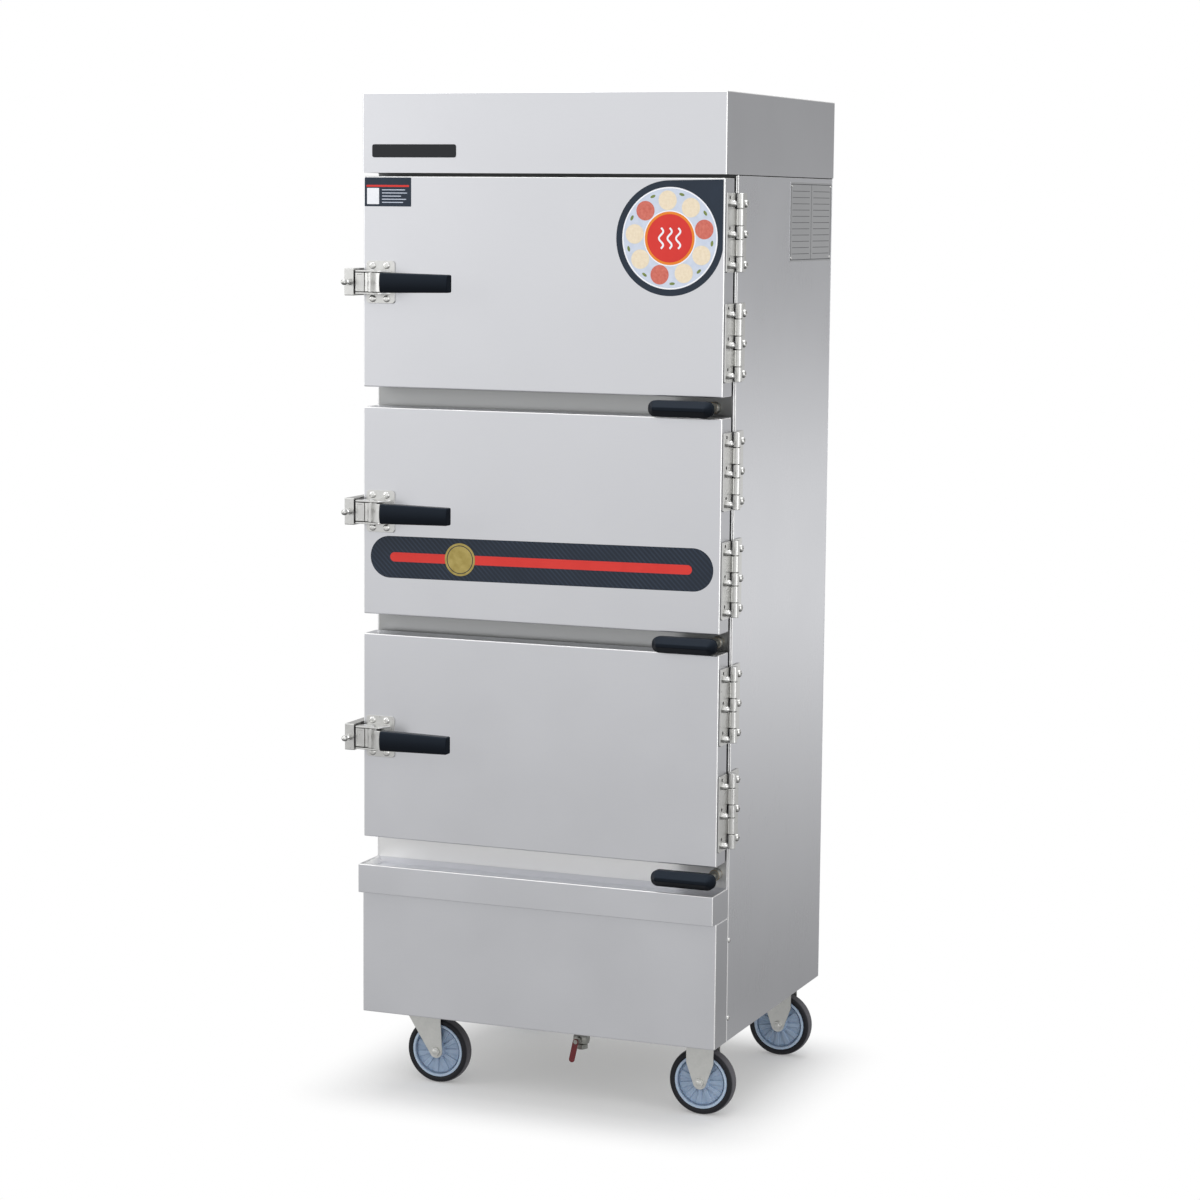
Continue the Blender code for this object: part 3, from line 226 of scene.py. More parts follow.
def thickened(bm, edges, fold=FOLD, sheet=SHEET):
    """Rounds a sheet's folds, which are those of the edges that join two faces, and gives it thickness."""
    round_edges(bm, [e for e in edges if len(e.link_faces) == 2], fold, FOLD_SEGMENTS)
    bmesh.ops.solidify(bm, geom=bm.faces[:], thickness=sheet)
    bmesh.ops.recalc_face_normals(bm, faces=bm.faces)
    return bm


def folded(low, high, open_sides, *measures):
    """A sheet folded into a box with some sides open. Each open side is the direction it faces."""
    bm = cube(low, high)
    gone = [face for side in open_sides for face in facing(bm, side)]
    bmesh.ops.delete(bm, geom=gone, context="FACES")
    return thickened(bm, bm.edges, *measures)


def block(low, high, edge=0.0, corner=0.0, along=Y):
    """A block whose edges along one axis take the corner radius, and whose rims then take the edge radius."""
    bm = cube(low, high)
    if corner:
        upright = [e for e in bm.edges if abs((e.verts[1].co - e.verts[0].co)[along]) > 0.9 * e.calc_length()]
        round_edges(bm, upright, corner, 6)
    if edge:
        round_edges(bm, sharp(bm), edge, 3)
    return bm


def piece(name, shapes, body, paint, *stands_for):
    """Joins the shapes into one object that rides on a body and may stand for CAD nodes."""
    whole = bmesh.new()
    for shape in shapes:
        carrier = bpy.data.meshes.new("carrier")
        shape.to_mesh(carrier)
        shape.free()
        whole.from_mesh(carrier)
        bpy.data.meshes.remove(carrier)
    mesh = bpy.data.meshes.new(name)
    whole.to_mesh(mesh)
    whole.free()
    mesh.shade_smooth()
    mesh.set_sharp_from_angle(angle=SMOOTH_ANGLE)
    mesh.materials.append(paint)
    made = bpy.data.objects.new(name, mesh)
    bpy.context.scene.collection.objects.link(made)
    made.modifiers.new("flat_faces_stay_flat", "WEIGHTED_NORMAL").keep_sharp = True
    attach(made, body)
    if stands_for:
        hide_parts(*stands_for)
    return made


def material(name, inputs):
    """A new material, its node tree, its shader and a place on its piece."""
    paint = bpy.data.materials.new(name)
    paint.use_nodes = True
    tree = paint.node_tree
    return paint, tree, wire(tree, tree.nodes["Principled BSDF"], inputs), add(tree, "TexCoord").outputs["Object"]


def shaded(tree, shader, drift, dark, light, gloss, shown=(0.0, 1.0)):
    """Lets a drifting value set a material's tone and its roughness, which follows a part of the drift."""
    tone = add(tree, "Mix", {0: drift, 6: dark, 7: light}, data_type="RGBA")
    rough = add(tree, "MapRange", {"Value": drift, "From Min": shown[0], "From Max": shown[1], "To Min": gloss[0],
                                   "To Max": gloss[1]})
    wire(tree, shader, {"Base Color": tone, "Roughness": rough})


def looking(tree, axis, start, end, reached=1.0, unreached=0.0, either_way=False):
    """A value that goes from unreached to reached as faces look along an axis, from start to end."""
    lie = add(tree, "SeparateXYZ", {"Vector": add(tree, "TexCoord").outputs["Normal"]}).outputs[axis]
    if either_way:
        lie = add(tree, "Math", {0: lie}, operation="ABSOLUTE")
    return add(tree, "MapRange", {"Value": lie, "From Min": start, "From Max": end, "To Min": unreached,
                                  "To Max": reached})


def laid_over(paint, share, code):
    """Lays a second colour over a material's own, by a share."""
    tree = paint.node_tree
    base = tree.nodes["Principled BSDF"].inputs["Base Color"]
    both = {0: share, 6: base.links[0].from_socket, 7: code}
    wire(tree, tree.nodes["Principled BSDF"], {"Base Color": add(tree, "Mix", both, data_type="RGBA")})


def brushed_stainless(name, colour, darker, along, roughness, painted_side_shade=1.0, ground="#FFFFFF"):
    """Grade 304 sheet with a number four brushed face: short scratches one way over a faint cloudiness.
    The scratches spread reflections across their length, and folds and corners that don't look down are painted paler
    as a painted highlight.
    The faces to the left and right are painted darker by a factor, as painted shade.
    The real scratches are 0.05 mm apart, drawn here ten times coarser so that they show."""
    paint, tree, shader, spot = material(name, {"Metallic": 1.0, "Anisotropic": SCRATCH_SPREAD})
    fine = [1 / SCRATCH_WIDTH] * 3
    fine[along] = 1 / SCRATCH_LENGTH
    scratch = add(tree, "TexNoise", {"Vector": add(tree, "Mapping", {"Vector": spot, "Scale": fine}), "Scale": 1.0,
                                     "Detail": 2.0, "Roughness": 0.6})
    clouds = add(tree, "TexNoise", {"Vector": spot, "Scale": 1 / STEEL_CLOUD, "Detail": 3.0})
    both = add(tree, "Mix", {0: 0.6, 2: scratch, 3: clouds})
    tint = add(tree, "MapRange", {"Value": both, "From Min": 0.3, "From Max": 0.7})
    shade = add(tree, "Mix", {0: tint, 6: darker, 7: colour}, data_type="RGBA")
    # Faces that look left or right are painted darker, as painted shade
    side = looking(tree, "X", 0.9, 1.0, painted_side_shade, 1.0, either_way=True)
    normal = add(tree, "TexCoord").outputs["Normal"]
    lie = add(tree, "SeparateXYZ", {"Vector": add(tree, "VectorMath", {0: normal}, operation="ABSOLUTE")}).outputs
    stroke = add(tree, "CombineXYZ", {"XYZ"[along]: 1.0, "YZX"[along]: lie["XYZ"[along]]})
    cross = add(tree, "VectorMath", {0: normal, 1: stroke}, operation="CROSS_PRODUCT")
    cross = add(tree, "VectorTransform", {"Vector": cross}, vector_type="VECTOR", convert_from="OBJECT",
                convert_to="WORLD")
    # Folds and corners that don't look down are painted towards white, as a painted highlight
    flat = add(tree, "Math", {0: lie["X"], 1: lie["Y"]}, operation="MAXIMUM")
    flat = add(tree, "Math", {0: flat, 1: lie["Z"]}, operation="MAXIMUM")
    painted_edge_highlight = add(tree, "MapRange", {"Value": flat, "From Min": 0.99, "From Max": 0.93})
    painted_edge_highlight = add(tree, "Math", {0: painted_edge_highlight, 1: looking(tree, "Z", -0.3, -0.1)}, operation="MULTIPLY")
    rough = add(tree, "MapRange", {"Value": both, "From Min": 0.3, "From Max": 0.7, "To Min": roughness - 0.03,
                                   "To Max": roughness + 0.03})
    relief = add(tree, "Bump", {"Height": scratch, "Strength": 0.06, "Distance": SCRATCH_DEPTH})
    wire(tree, shader, {"Base Color": add(tree, "VectorMath", {0: shade, "Scale": side}, operation="SCALE"),
                        "Roughness": rough, "Normal": relief, "Tangent": cross})
    laid_over(paint, painted_edge_highlight, ground)
    return paint


# The front steel's left and right faces are painted at 0.78 of its tone, as painted shade
front_steel = brushed_stainless("brushed_stainless_front", "#DEDFE3", "#DADBDF", X, 0.33, 0.78)
side_steel = brushed_stainless("brushed_stainless_side", "#DEDFE3", "#DADBDF", Z, 0.29)
soffit_painted_shade_steel = brushed_stainless("soffit_strip_painted_shade", "#7A7B7A", "#6C6D6C", X, 0.5)
low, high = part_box("header_cap")
frame_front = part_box("front_frame")[0].y
soffit = block((low.x + SHEET, low.y + SHEET, low.z), (high.x - SHEET, frame_front - SHEET / 4, low.z + SHEET))
piece("header_cover", [folded(low, high, [BELOW])], "cabinet", front_steel, "header_cap")
# The soffit strip's dark steel is painted shade under the header
piece("header_soffit_strip", [soffit], "cabinet", soffit_painted_shade_steel)

# Plate on the header: a bare black anodised plate with rounded corners, held by tape.
# Its place is measured from the header's left edge and its top edge.
BLANK_INSET, BLANK_DROP, BLANK_LENGTH, BLANK_HEIGHT, BLANK_SHEET = mm(20, 92, 166, 23.5, 1.2)


def mottled(name, fixed, dark, light, gloss, patch, detail=2.0, broken=0.5, shown=(0.0, 1.0), relief=None):
    """A surface whose tone and roughness drift together in soft patches of one real size. Detail and
    broken say how the patches break up, and shown is the part of their drift that the roughness follows.
    Relief is the strength and depth of their unevenness."""
    paint, tree, shader, spot = material(name, fixed)
    cloud = add(tree, "TexNoise", {"Vector": spot, "Scale": 1 / patch, "Detail": detail, "Roughness": broken})
    shaded(tree, shader, cloud, dark, light, gloss, shown)
    if relief:
        wire(tree, shader, {"Normal": add(tree, "Bump", {"Height": cloud, "Strength": relief[0],
                                                         "Distance": relief[1]})})
    return paint


black_anodised = mottled("black_anodised_plate", {"Metallic": 0.35}, "#131519", "#1B1E23",
                         (0.34, 0.5), 0.8 * MM)
blank_left, blank_top = low.x + BLANK_INSET, high.z - BLANK_DROP
blank = block((blank_left, low.y - BLANK_SHEET, blank_top - BLANK_HEIGHT),
              (blank_left + BLANK_LENGTH, low.y, blank_top), edge=0.4 * MM, corner=4 * MM)
piece("header_blank_plate", [blank], "cabinet", black_anodised)

# Body sheets: side panels folded at their front and rear edges, and the back sheet let in between
# them, all of the same brushed stainless. The flat front frame shows as strips between the doors. Its
# steel is painted darker than the doors' as painted shade, near white above the gutter as painted light,
# and darker still where it goes up into the header as painted shade.
# Each side panel's front edge is turned back into a narrow hem, whose steel is painted near white as a painted
# highlight.
HEM_LET_IN, HEM_PROUD, HEM_START, HEM_END, HEM_EDGE = mm(1.0, 2.2, 0.2, 3.6, 1.1)
PAINTED_LIGHT_LOW, PAINTED_LIGHT_HIGH, PAINTED_SHADE_LOW, PAINTED_SHADE_HIGH = mm(470, 510, 1690, 1700)
# The hem's steel is painted near white, as a painted highlight
hem_painted_highlight_steel = brushed_stainless("hem_painted_highlight", "#FFFFFF", "#F4F4F4", Z, 0.42)
for side, open_side in (("left", RIGHT), ("right", LEFT)):
    low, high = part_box(f"side_panel_{side}")
    piece(f"side_sheet_{side}", [folded(low, high, [open_side, BELOW])], "cabinet", side_steel, f"side_panel_{side}")
    if side == "left":
        rim_low, rim_high = low.x - HEM_PROUD, low.x + HEM_LET_IN
    else:
        rim_low, rim_high = high.x - HEM_LET_IN, high.x + HEM_PROUD
    hem = block((rim_low, low.y + HEM_START, low.z), (rim_high, low.y + HEM_END, high.z), edge=HEM_EDGE)
    piece(f"side_sheet_{side}_hem", [hem], "cabinet", hem_painted_highlight_steel)
# The strips' steel is painted darker than the doors', as painted shade
strip_steel_painted_light_and_shade = brushed_stainless("brushed_stainless_strips_painted_light_and_shade", "#B0B1B1", "#A8A9A9", X, 0.36)
strip_tree = strip_steel_painted_light_and_shade.node_tree
place = add(strip_tree, "SeparateXYZ", {"Vector": add(strip_tree, "TexCoord").outputs["Object"]}).outputs["Z"]
# Painted light near white above the gutter, and painted shade where the frame goes up into the header
for painted_tone, start, end in (("#F4F4F4", PAINTED_LIGHT_HIGH, PAINTED_LIGHT_LOW), ("#6A6B6B", PAINTED_SHADE_LOW, PAINTED_SHADE_HIGH)):
    laid_over(strip_steel_painted_light_and_shade, add(strip_tree, "MapRange", {"Value": place, "From Min": start, "From Max": end}), painted_tone)


def repaint(node, paint):
    """Gives a node that keeps its own solid a material."""
    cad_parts[node].data.materials.clear()
    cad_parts[node].data.materials.append(paint)


repaint("front_frame", strip_steel_painted_light_and_shade)
repaint("back_panel", side_steel)

# Doors: three stainless pans with folded edges, closed behind by an inner pan whose middle is
# pressed in for stiffness. A moulded silicone seal sits round the inner pan and meets the front frame.
# Round holes through the pan's side, behind those of the hinge leaves, open into its dark inside.
PRESSED_MARGIN, PRESSED_DEPTH, PRESSED_SLOPE, SEAL_WIDTH, SEAL_LIP = mm(52, 7, 9, 16, 3)
BOLT_MARGIN, BOLT_DROP, NUT_FORWARD, HOLE_RISE, HOLE_RADIUS = mm(15.5, 3, 37, 10.5, 3.2)
HOLE_DEPTH, BARREL_RADIUS, MERGE = mm(4, 7.5, 0.02)
AIM = (Matrix.Rotation(math.pi / 2, 3, "Y"), Matrix.Rotation(-math.pi / 2, 3, "X"), Matrix.Identity(3))
hinge_low, hinge_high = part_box("hinge_1_upper_body_leaf")
hinge_x, hinge_y = hinge_high.x - BARREL_RADIUS, hinge_low.y + BARREL_RADIUS
liner_steel = brushed_stainless("brushed_stainless_inner", "#BDBEC0", "#B2B3B5", Z, 0.40)
silicone = mottled("grey_silicone_seal", {"Specular IOR Level": 0.35, "IOR": 1.43}, "#3A3B3C",
                   "#4A4B4C", (0.55, 0.8), 3 * MM, detail=4.0, relief=(0.3, 0.1 * MM))


def turned(profile, place, axis, steps=32):
    """A profile of (radius, distance) points spun once round an axis through a place."""
    bm = bmesh.new()
    line = [bm.verts.new((radius, 0, along)) for radius, along in profile]
    edges = [bm.edges.new(pair) for pair in zip(line, line[1:])]
    bmesh.ops.spin(bm, geom=line + edges, cent=(0, 0, 0), axis=(0, 0, 1), angle=math.tau, steps=steps,
                   use_merge=True)
    bmesh.ops.remove_doubles(bm, verts=bm.verts, dist=MERGE)
    bmesh.ops.recalc_face_normals(bm, faces=bm.faces)
    bmesh.ops.rotate(bm, matrix=AIM[axis], verts=bm.verts)
    bmesh.ops.translate(bm, vec=place, verts=bm.verts)
    return bm


def shaft(radius, start, end):
    """The profile of a plain round bar."""
    return [(0, start), (radius, start), (radius, end), (0, end)]


def prism(points, axis, start, end, edge=0.0, segments=2):
    """A flat outline drawn out along an axis between two distances, with its rims rounded."""
    bm = bmesh.new()
    spots = [((start, u, v), (u, start, v), (u, v, start))[axis] for u, v in points]
    face = bm.faces.new([bm.verts.new(spot) for spot in spots])
    drawn = bmesh.ops.extrude_face_region(bm, geom=[face])["geom"]
    shift = Vector([end - start if way == axis else 0.0 for way in range(3)])
    bmesh.ops.translate(bm, vec=shift, verts=[v for v in drawn if isinstance(v, bmesh.types.BMVert)])
    bmesh.ops.recalc_face_normals(bm, faces=bm.faces)
    if edge:
        round_edges(bm, sharp(bm), edge, segments)
    return bm


def carved(solid, tools):
    """A shape with the tools cut out of it."""
    holders = []
    for shape in (solid, *tools):
        mesh = bpy.data.meshes.new("carving")
        shape.to_mesh(mesh)
        shape.free()
        holders.append(bpy.data.objects.new("carving", mesh))
        bpy.context.scene.collection.objects.link(holders[-1])
    for tool in holders[1:]:
        cut = holders[0].modifiers.new("cut", "BOOLEAN")
        cut.operation, cut.solver, cut.object = "DIFFERENCE", "EXACT", tool
    out = bmesh.new()
    out.from_object(holders[0], bpy.context.evaluated_depsgraph_get())
    for holder in holders:
        bpy.data.meshes.remove(holder.data)
    return out


def moved(shape, place, matrix=Matrix.Identity(3)):
    """A copy of a shape, turned and then put at a place."""
    out = shape.copy()
    bmesh.ops.rotate(out, matrix=matrix, verts=out.verts)
    bmesh.ops.translate(out, vec=place, verts=out.verts)
    return out


def arc_points(centre, radius, start, end, steps):
    """Points round an arc, in degrees."""
    turns = [math.radians(start + (end - start) * step / steps) for step in range(steps + 1)]
    return [(centre[0] + radius * math.cos(turn), centre[1] + radius * math.sin(turn)) for turn in turns]


def rounded_outline(low, high, radius, steps=4):
    """The corner points of an oblong with rounded corners."""
    corners = ((high[0] - radius, high[1] - radius), (low[0] + radius, high[1] - radius),
               (low[0] + radius, low[1] + radius), (high[0] - radius, low[1] + radius))
    return [point for number, corner in enumerate(corners)
            for point in arc_points(corner, radius, 90 * number, 90 * number + 90, steps)]


def pressed(bm, faces, margin, slope, depth):
    """Presses faces in, inside a flat margin and down a slope."""
    bmesh.ops.inset_region(bm, faces=faces, thickness=margin, use_even_offset=True)
    bmesh.ops.inset_region(bm, faces=faces, thickness=slope, depth=-depth, use_even_offset=True)


def ringed(low, high, width, lip):
    """A moulded frame round a mouth: a flat ring along Y whose rear side carries a rounded lip."""
    bm = cube(low, high)
    for way in (FRONT, BACK):
        bmesh.ops.inset_region(bm, faces=facing(bm, way), thickness=width, use_even_offset=True)
    mouths = [max(facing(bm, way), key=lambda f: f.calc_area()) for way in (FRONT, BACK)]
    rims = [list(f.edges) for f in mouths]
    bmesh.ops.delete(bm, geom=mouths, context="FACES_ONLY")
    bmesh.ops.bridge_loops(bm, edges=rims[0] + rims[1])
    bmesh.ops.recalc_face_normals(bm, faces=bm.faces)
    round_edges(bm, sharp(bm), lip, 3)
    return bm


def bolt_levels(node):
    """The heights of a hinge leaf's three bolts."""
    low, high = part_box(node)
    middle, reach = (low.z + high.z) / 2, (high.z - low.z) / 2 - BOLT_MARGIN
    return [middle + step * reach - BOLT_DROP for step in (-1, 0, 1)]


def hinge_holes(node, start, end):
    """Cutters for the spare holes above a door leaf's bolts."""
    return [turned(shaft(HOLE_RADIUS, start, end), (0, hinge_y - NUT_FORWARD, level + HOLE_RISE), X, 16)
            for level in bolt_levels(node)]


for number in (1, 2, 3):
    door = f"door_{number}"
    low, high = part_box(f"{door}_shell")
    holes = [hole for end in ("upper", "lower")
             for hole in hinge_holes(f"hinge_{number}_{end}_door_leaf", high.x - HOLE_DEPTH, high.x + MM)]
    piece(f"{door}_outer_pan", [carved(folded(low, high, [BACK]), holes)], door, front_steel, f"{door}_shell")
    inner = cube(*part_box(f"{door}_liner"))
    bmesh.ops.delete(inner, geom=facing(inner, FRONT), context="FACES")
    pressed(inner, facing(inner, BACK), PRESSED_MARGIN, PRESSED_SLOPE, PRESSED_DEPTH)
    piece(f"{door}_inner_pan", [thickened(inner, sharp(inner, 10))], door, liner_steel, f"{door}_liner")
    seal = ringed(*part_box(f"{door}_gasket"), SEAL_WIDTH, SEAL_LIP)
    piece(f"{door}_seal", [seal], door, silicone, f"{door}_gasket")
door_front, door_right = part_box("door_1_shell")[0].y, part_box("door_1_shell")[1].x

# Lower panel: a folded stainless box under the doors, screwed to the sides by its returns.
piece("lower_panel_cover", [folded(*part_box("lower_panel"), [BACK])], "cabinet", front_steel, "lower_panel")

# Drip gutter: a stainless box with welded and ground corners, whose top is pressed down into a
# shallow tray inside a narrow flat rim. The tray runs back to the body, with no rim behind.
RIM_WIDTH, TRAY_DEPTH, TRAY_SLOPE, GUTTER_EDGE = mm(5, 11, 5, 1.8)
low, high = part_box("drip_gutter")
gutter = cube(low, high)
pressed(gutter, facing(gutter, ABOVE), RIM_WIDTH, TRAY_SLOPE, TRAY_DEPTH)
for vert in gutter.verts:
    if high.y - RIM_WIDTH - TRAY_SLOPE - MERGE < vert.co.y < high.y - MERGE and vert.co.z < high.z + MERGE:
        vert.co.y = high.y - SHEET
ahead = [e for e in sharp(gutter, 30) if min(v.co.y for v in e.verts) < high.y - RIM_WIDTH]
round_edges(gutter, ahead, GUTTER_EDGE, 3)
piece("drip_gutter_trough", [gutter], "cabinet", front_steel, "drip_gutter")

# Two pan head screws hold the right side sheet at its front edge. Their zinc plating is bright, and
# painted darker where it looks down, as painted shade.
SIDE_SCREW_BACK, *SIDE_SCREW_LEVELS = mm(5, 196.5, 340.5)
FACE_FRONT, FACE_RIGHT = Matrix.Rotation(math.pi / 2, 3, "X"), Matrix.Rotation(math.pi / 2, 3, "Y")


def cross_head(radius, height):
    """A pan head of a radius and height along +Z with a cross recess."""
    dome = [(0, 0), (radius, 0), (radius, height * 0.35), (radius * 0.94, height * 0.62),
            (radius * 0.80, height * 0.84), (radius * 0.55, height * 0.97), (0, height)]
    arm, slit = radius * 0.52, radius * 0.13
    cross = [cube((-u, -v, height * 0.45), (u, v, 2 * height)) for u, v in ((arm, slit), (slit, arm))]
    return carved(turned(dome, (0, 0, 0), Z, 20), cross)


screw_steel = mottled("zinc_plated_screws", {"Metallic": 1.0}, "#D8D8D6", "#F2F2F0", (0.08, 0.2),
                      1.5 * MM, detail=3.0)
# Faces that look down are painted darker, as painted shade
laid_over(screw_steel, looking(screw_steel.node_tree, "Z", -0.1, -0.8), "#4C4C4A")
small_head = cross_head(*mm(4.6, 2.6))
low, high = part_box("side_panel_right")
side_screws = [moved(small_head, (high.x + HEM_PROUD, low.y + SIDE_SCREW_BACK, level), FACE_RIGHT)
               for level in SIDE_SCREW_LEVELS]
piece("lower_panel_side_screws", side_screws, "cabinet", screw_steel)

# Hinges: stainless strap hinges of five knuckles. The door leaf is held by bright cap nuts on studs, with
# a spare hole above each, and the body leaf by three pan head screws.
LEAF_THICKNESS, LEAF_CORNER, LEAF_EDGE, KNUCKLE_CHAMFER, KNUCKLE_GAP = mm(3.0, 2.5, 0.5, 0.7, 1.0)
PIN_RADIUS, PIN_CHAMFER, PIN_PLAY = mm(3.5, 0.4, 0.3)
KNUCKLES = (0.0, 0.196, 0.414, 0.586, 0.804, 1.0)
DOOR_SETBACK, BODY_SETBACK, SCREW_BACK, NUT_RADIUS, NUT_HEIGHT, CAP_HEIGHT = mm(9.5, 5.5, 42, 7.0, 4.8, 12.4)
cast_steel = mottled("polished_stainless_casting", {"Metallic": 1.0}, "#CDCDCB", "#E4E4E2",
                     (0.26, 0.36), 9 * MM, detail=5.0, broken=0.65, shown=(0.3, 0.7), relief=(0.05, 0.2 * MM))
# Faces that look down are painted darker, as painted shade
laid_over(cast_steel, looking(cast_steel.node_tree, "Z", -0.1, -0.8), "#6C6C6A")
hinge_head = cross_head(*mm(7.0, 5.6))


def hexagon_nut(place, axis, length, radius, chamfer=0.6 * MM):
    """A plain hexagon nut along an axis."""
    return moved(prism(arc_points((0, 0), radius, 0, 300, 5), axis, 0, length, chamfer), place)


def cap_nut(place):
    """A domed hexagon nut that points right."""
    ball, rise = NUT_RADIUS * 0.84, CAP_HEIGHT - NUT_HEIGHT
    dome = [(0, NUT_HEIGHT / 2), (ball, NUT_HEIGHT / 2), (ball, NUT_HEIGHT + rise * 0.2)]
    dome += [(ball * math.cos(math.radians(turn)), NUT_HEIGHT + rise * (0.2 + 0.8 * math.sin(math.radians(turn))))
             for turn in (15, 30, 45, 60, 75, 90)]
    return [hexagon_nut(place, X, NUT_HEIGHT, NUT_RADIUS, 0.5 * MM), turned(dome, place, X, 24)]


def sleeve(bore, radius, start, end, chamfer):
    """The closed profile of a tube with chamfered outer rims."""
    return [(bore, start), (radius - chamfer, start), (radius, start + chamfer), (radius, end - chamfer),
            (radius - chamfer, end), (bore, end), (bore, start)]


def hinge_leaf(name, body, node, way, numbers):
    """One leaf with its own knuckles and fasteners. way is 1 for the body leaf and -1 for the door leaf."""
    low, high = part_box(node)
    leaf_in, leaf_out, tall = low.x, low.x + LEAF_THICKNESS, high.z - low.z
    near, far = (hinge_y + BODY_SETBACK, high.y) if way > 0 else (hinge_y - DOOR_SETBACK, low.y)
    plate = prism(rounded_outline((min(near, far), low.z), (max(near, far), high.z), LEAF_CORNER), X,
                  leaf_in, leaf_out, LEAF_EDGE)
    fasteners = []
    for level in bolt_levels(node):
        if way < 0:
            fasteners += cap_nut((leaf_out, hinge_y - NUT_FORWARD, level))
        else:
            fasteners.append(moved(hinge_head, (leaf_out, hinge_y + SCREW_BACK, level), FACE_RIGHT))
    if way < 0:
        plate = carved(plate, hinge_holes(node, leaf_in - MM, leaf_out + MM))
    piece(f"{name}_fasteners", fasteners, body, screw_steel)
    shapes = [plate]
    for number in numbers:
        start = low.z + KNUCKLES[number] * tall + KNUCKLE_GAP / 2
        end = low.z + KNUCKLES[number + 1] * tall - KNUCKLE_GAP / 2
        knuckle = sleeve(PIN_RADIUS + PIN_PLAY, BARREL_RADIUS, 0, end - start, KNUCKLE_CHAMFER)
        shapes.append(turned(knuckle, (hinge_x, hinge_y, start), Z, 28))
        shapes.append(cube((leaf_in, min(hinge_y, near + way * MM), start),
                           (leaf_out, max(hinge_y, near + way * MM), end)))
    if way > 0:
        pin = [(0, 0), (PIN_RADIUS - PIN_CHAMFER, 0), (PIN_RADIUS, PIN_CHAMFER),
               (PIN_RADIUS, tall - MM - PIN_CHAMFER), (PIN_RADIUS - PIN_CHAMFER, tall - MM), (0, tall - MM)]
        shapes.append(turned(pin, (hinge_x, hinge_y, low.z + MM / 2), Z, 24))
    piece(name, shapes, body, cast_steel, node)


for number in (1, 2, 3):
    for end in ("upper", "lower"):
        hinge = f"hinge_{number}_{end}"
        hinge_leaf(f"{hinge}_fixed_leaf", "cabinet", f"{hinge}_body_leaf", 1, (0, 2, 4))
        hinge_leaf(f"{hinge}_moving_leaf", f"door_{number}", f"{hinge}_door_leaf", -1, (1, 3))

# Latches: a polished base plate on the door with two ears and a cross pin. The lever turns on the
# pin: a framed nose on the left, a curved neck on the right, and a black moulded grip on its tang.
PLATE_INSET, PLATE_WIDTH, PLATE_HEIGHT, PLATE_THICKNESS, PLATE_ROUND, PLATE_EDGE = mm(7, 57, 77, 2.5, 6, 0.6)
PLATE_SCREW_INSET, PLATE_SCREW_SPAN_X, PLATE_SCREW_SPAN_Z = mm(13, 28, 60)
EAR_THICKNESS, EAR_OPENING, EAR_REACH, EAR_LENGTH = mm(3, 37, 34, 52)
PIN_INSET, PIN_FORWARD, LATCH_PIN_RADIUS, LATCH_BORE = mm(30, 26, 3.5, 3.8)
LEVER_HEIGHT, BOSS_RADIUS, BOSS_PLAY, WEB_DEPTH = mm(34, 8.5, 0.3, 4)
NOSE_LENGTH, NOSE_THICKNESS, NOSE_BLOCK, NOSE_GROOVE = mm(31.5, 9, 17.5, 1.8)
NOSE_FRAME, NOSE_RECESS, NOSE_SLOPE = mm(3.2, 0.7, 0.5)
NECK_THICKNESS, NECK_EDGE, TANG_HALF, TANG_LENGTH = mm(6, 0.8, 2.7, 12)
GRIP_FORWARD, GRIP_START, GRIP_EDGE, GRIP_CROWN = mm(45, 27, 3.0, 3.2)
GRIP_END_SHARE = 0.87
plate_head = cross_head(*mm(6.4, 3.6))
# The moulding is blue-black and its polish is worn, so that it mirrors weakly and a little blue. Its
# upper faces are painted lighter as painted light from above, and the end where it left the mould is matt.
bakelite, tree, shader, spot = material("black_phenolic_moulding", {
    "IOR": 1.55, "Specular IOR Level": 0.15, "Specular Tint": "#C9DCF7"})
skin = add(tree, "TexNoise", {"Vector": spot, "Scale": 1 / (1.2 * MM), "Detail": 3.0})
cloud = add(tree, "TexNoise", {"Vector": spot, "Scale": 1 / (22 * MM)})
tone = add(tree, "Mix", {0: cloud, 6: "#040508", 7: "#07090D"}, data_type="RGBA")
gloss = add(tree, "MapRange", {"Value": skin, "To Min": 0.3, "To Max": 0.46})
peel = add(tree, "Bump", {"Height": skin, "Strength": 0.2, "Distance": 0.06 * MM})
rough = add(tree, "Mix", {0: looking(tree, "X", 0.4, 0.8), 2: gloss, 3: 0.95})
wire(tree, shader, {"Base Color": tone, "Roughness": rough, "Normal": peel})
# Upper faces are painted lighter, as painted light from above
laid_over(bakelite, looking(tree, "Z", -0.35, 0.75), "#1E242C")


def ribbon(path, thickness):
    """The outline of a strip of even thickness along a path of points."""
    near, far = [], []
    for step, spot in enumerate(path):
        ahead = Vector(path[min(step + 1, len(path) - 1)]) - Vector(path[max(step - 1, 0)])
        side = Vector((-ahead.y, ahead.x)).normalized() * thickness / 2
        near.append(tuple(Vector(spot) + side))
        far.append(tuple(Vector(spot) - side))
    return near + far[::-1]


def swept(start, start_pull, end_pull, end, steps=10):
    """Points along one cubic curve in a plane."""
    corners = [Vector(spot) for spot in (start, start_pull, end_pull, end)]
    points = []
    for step in range(steps + 1):
        t = step / steps
        weights = ((1 - t) ** 3, 3 * t * (1 - t) ** 2, 3 * t ** 2 * (1 - t), t ** 3)
        points.append(tuple(sum((c * w for c, w in zip(corners, weights)), Vector((0, 0)))))
    return points


def beside(u, v, *steps):
    """Points that lie some millimetres beside a corner of a profile."""
    return [(u + right * MM, v + up * MM) for right, up in steps]


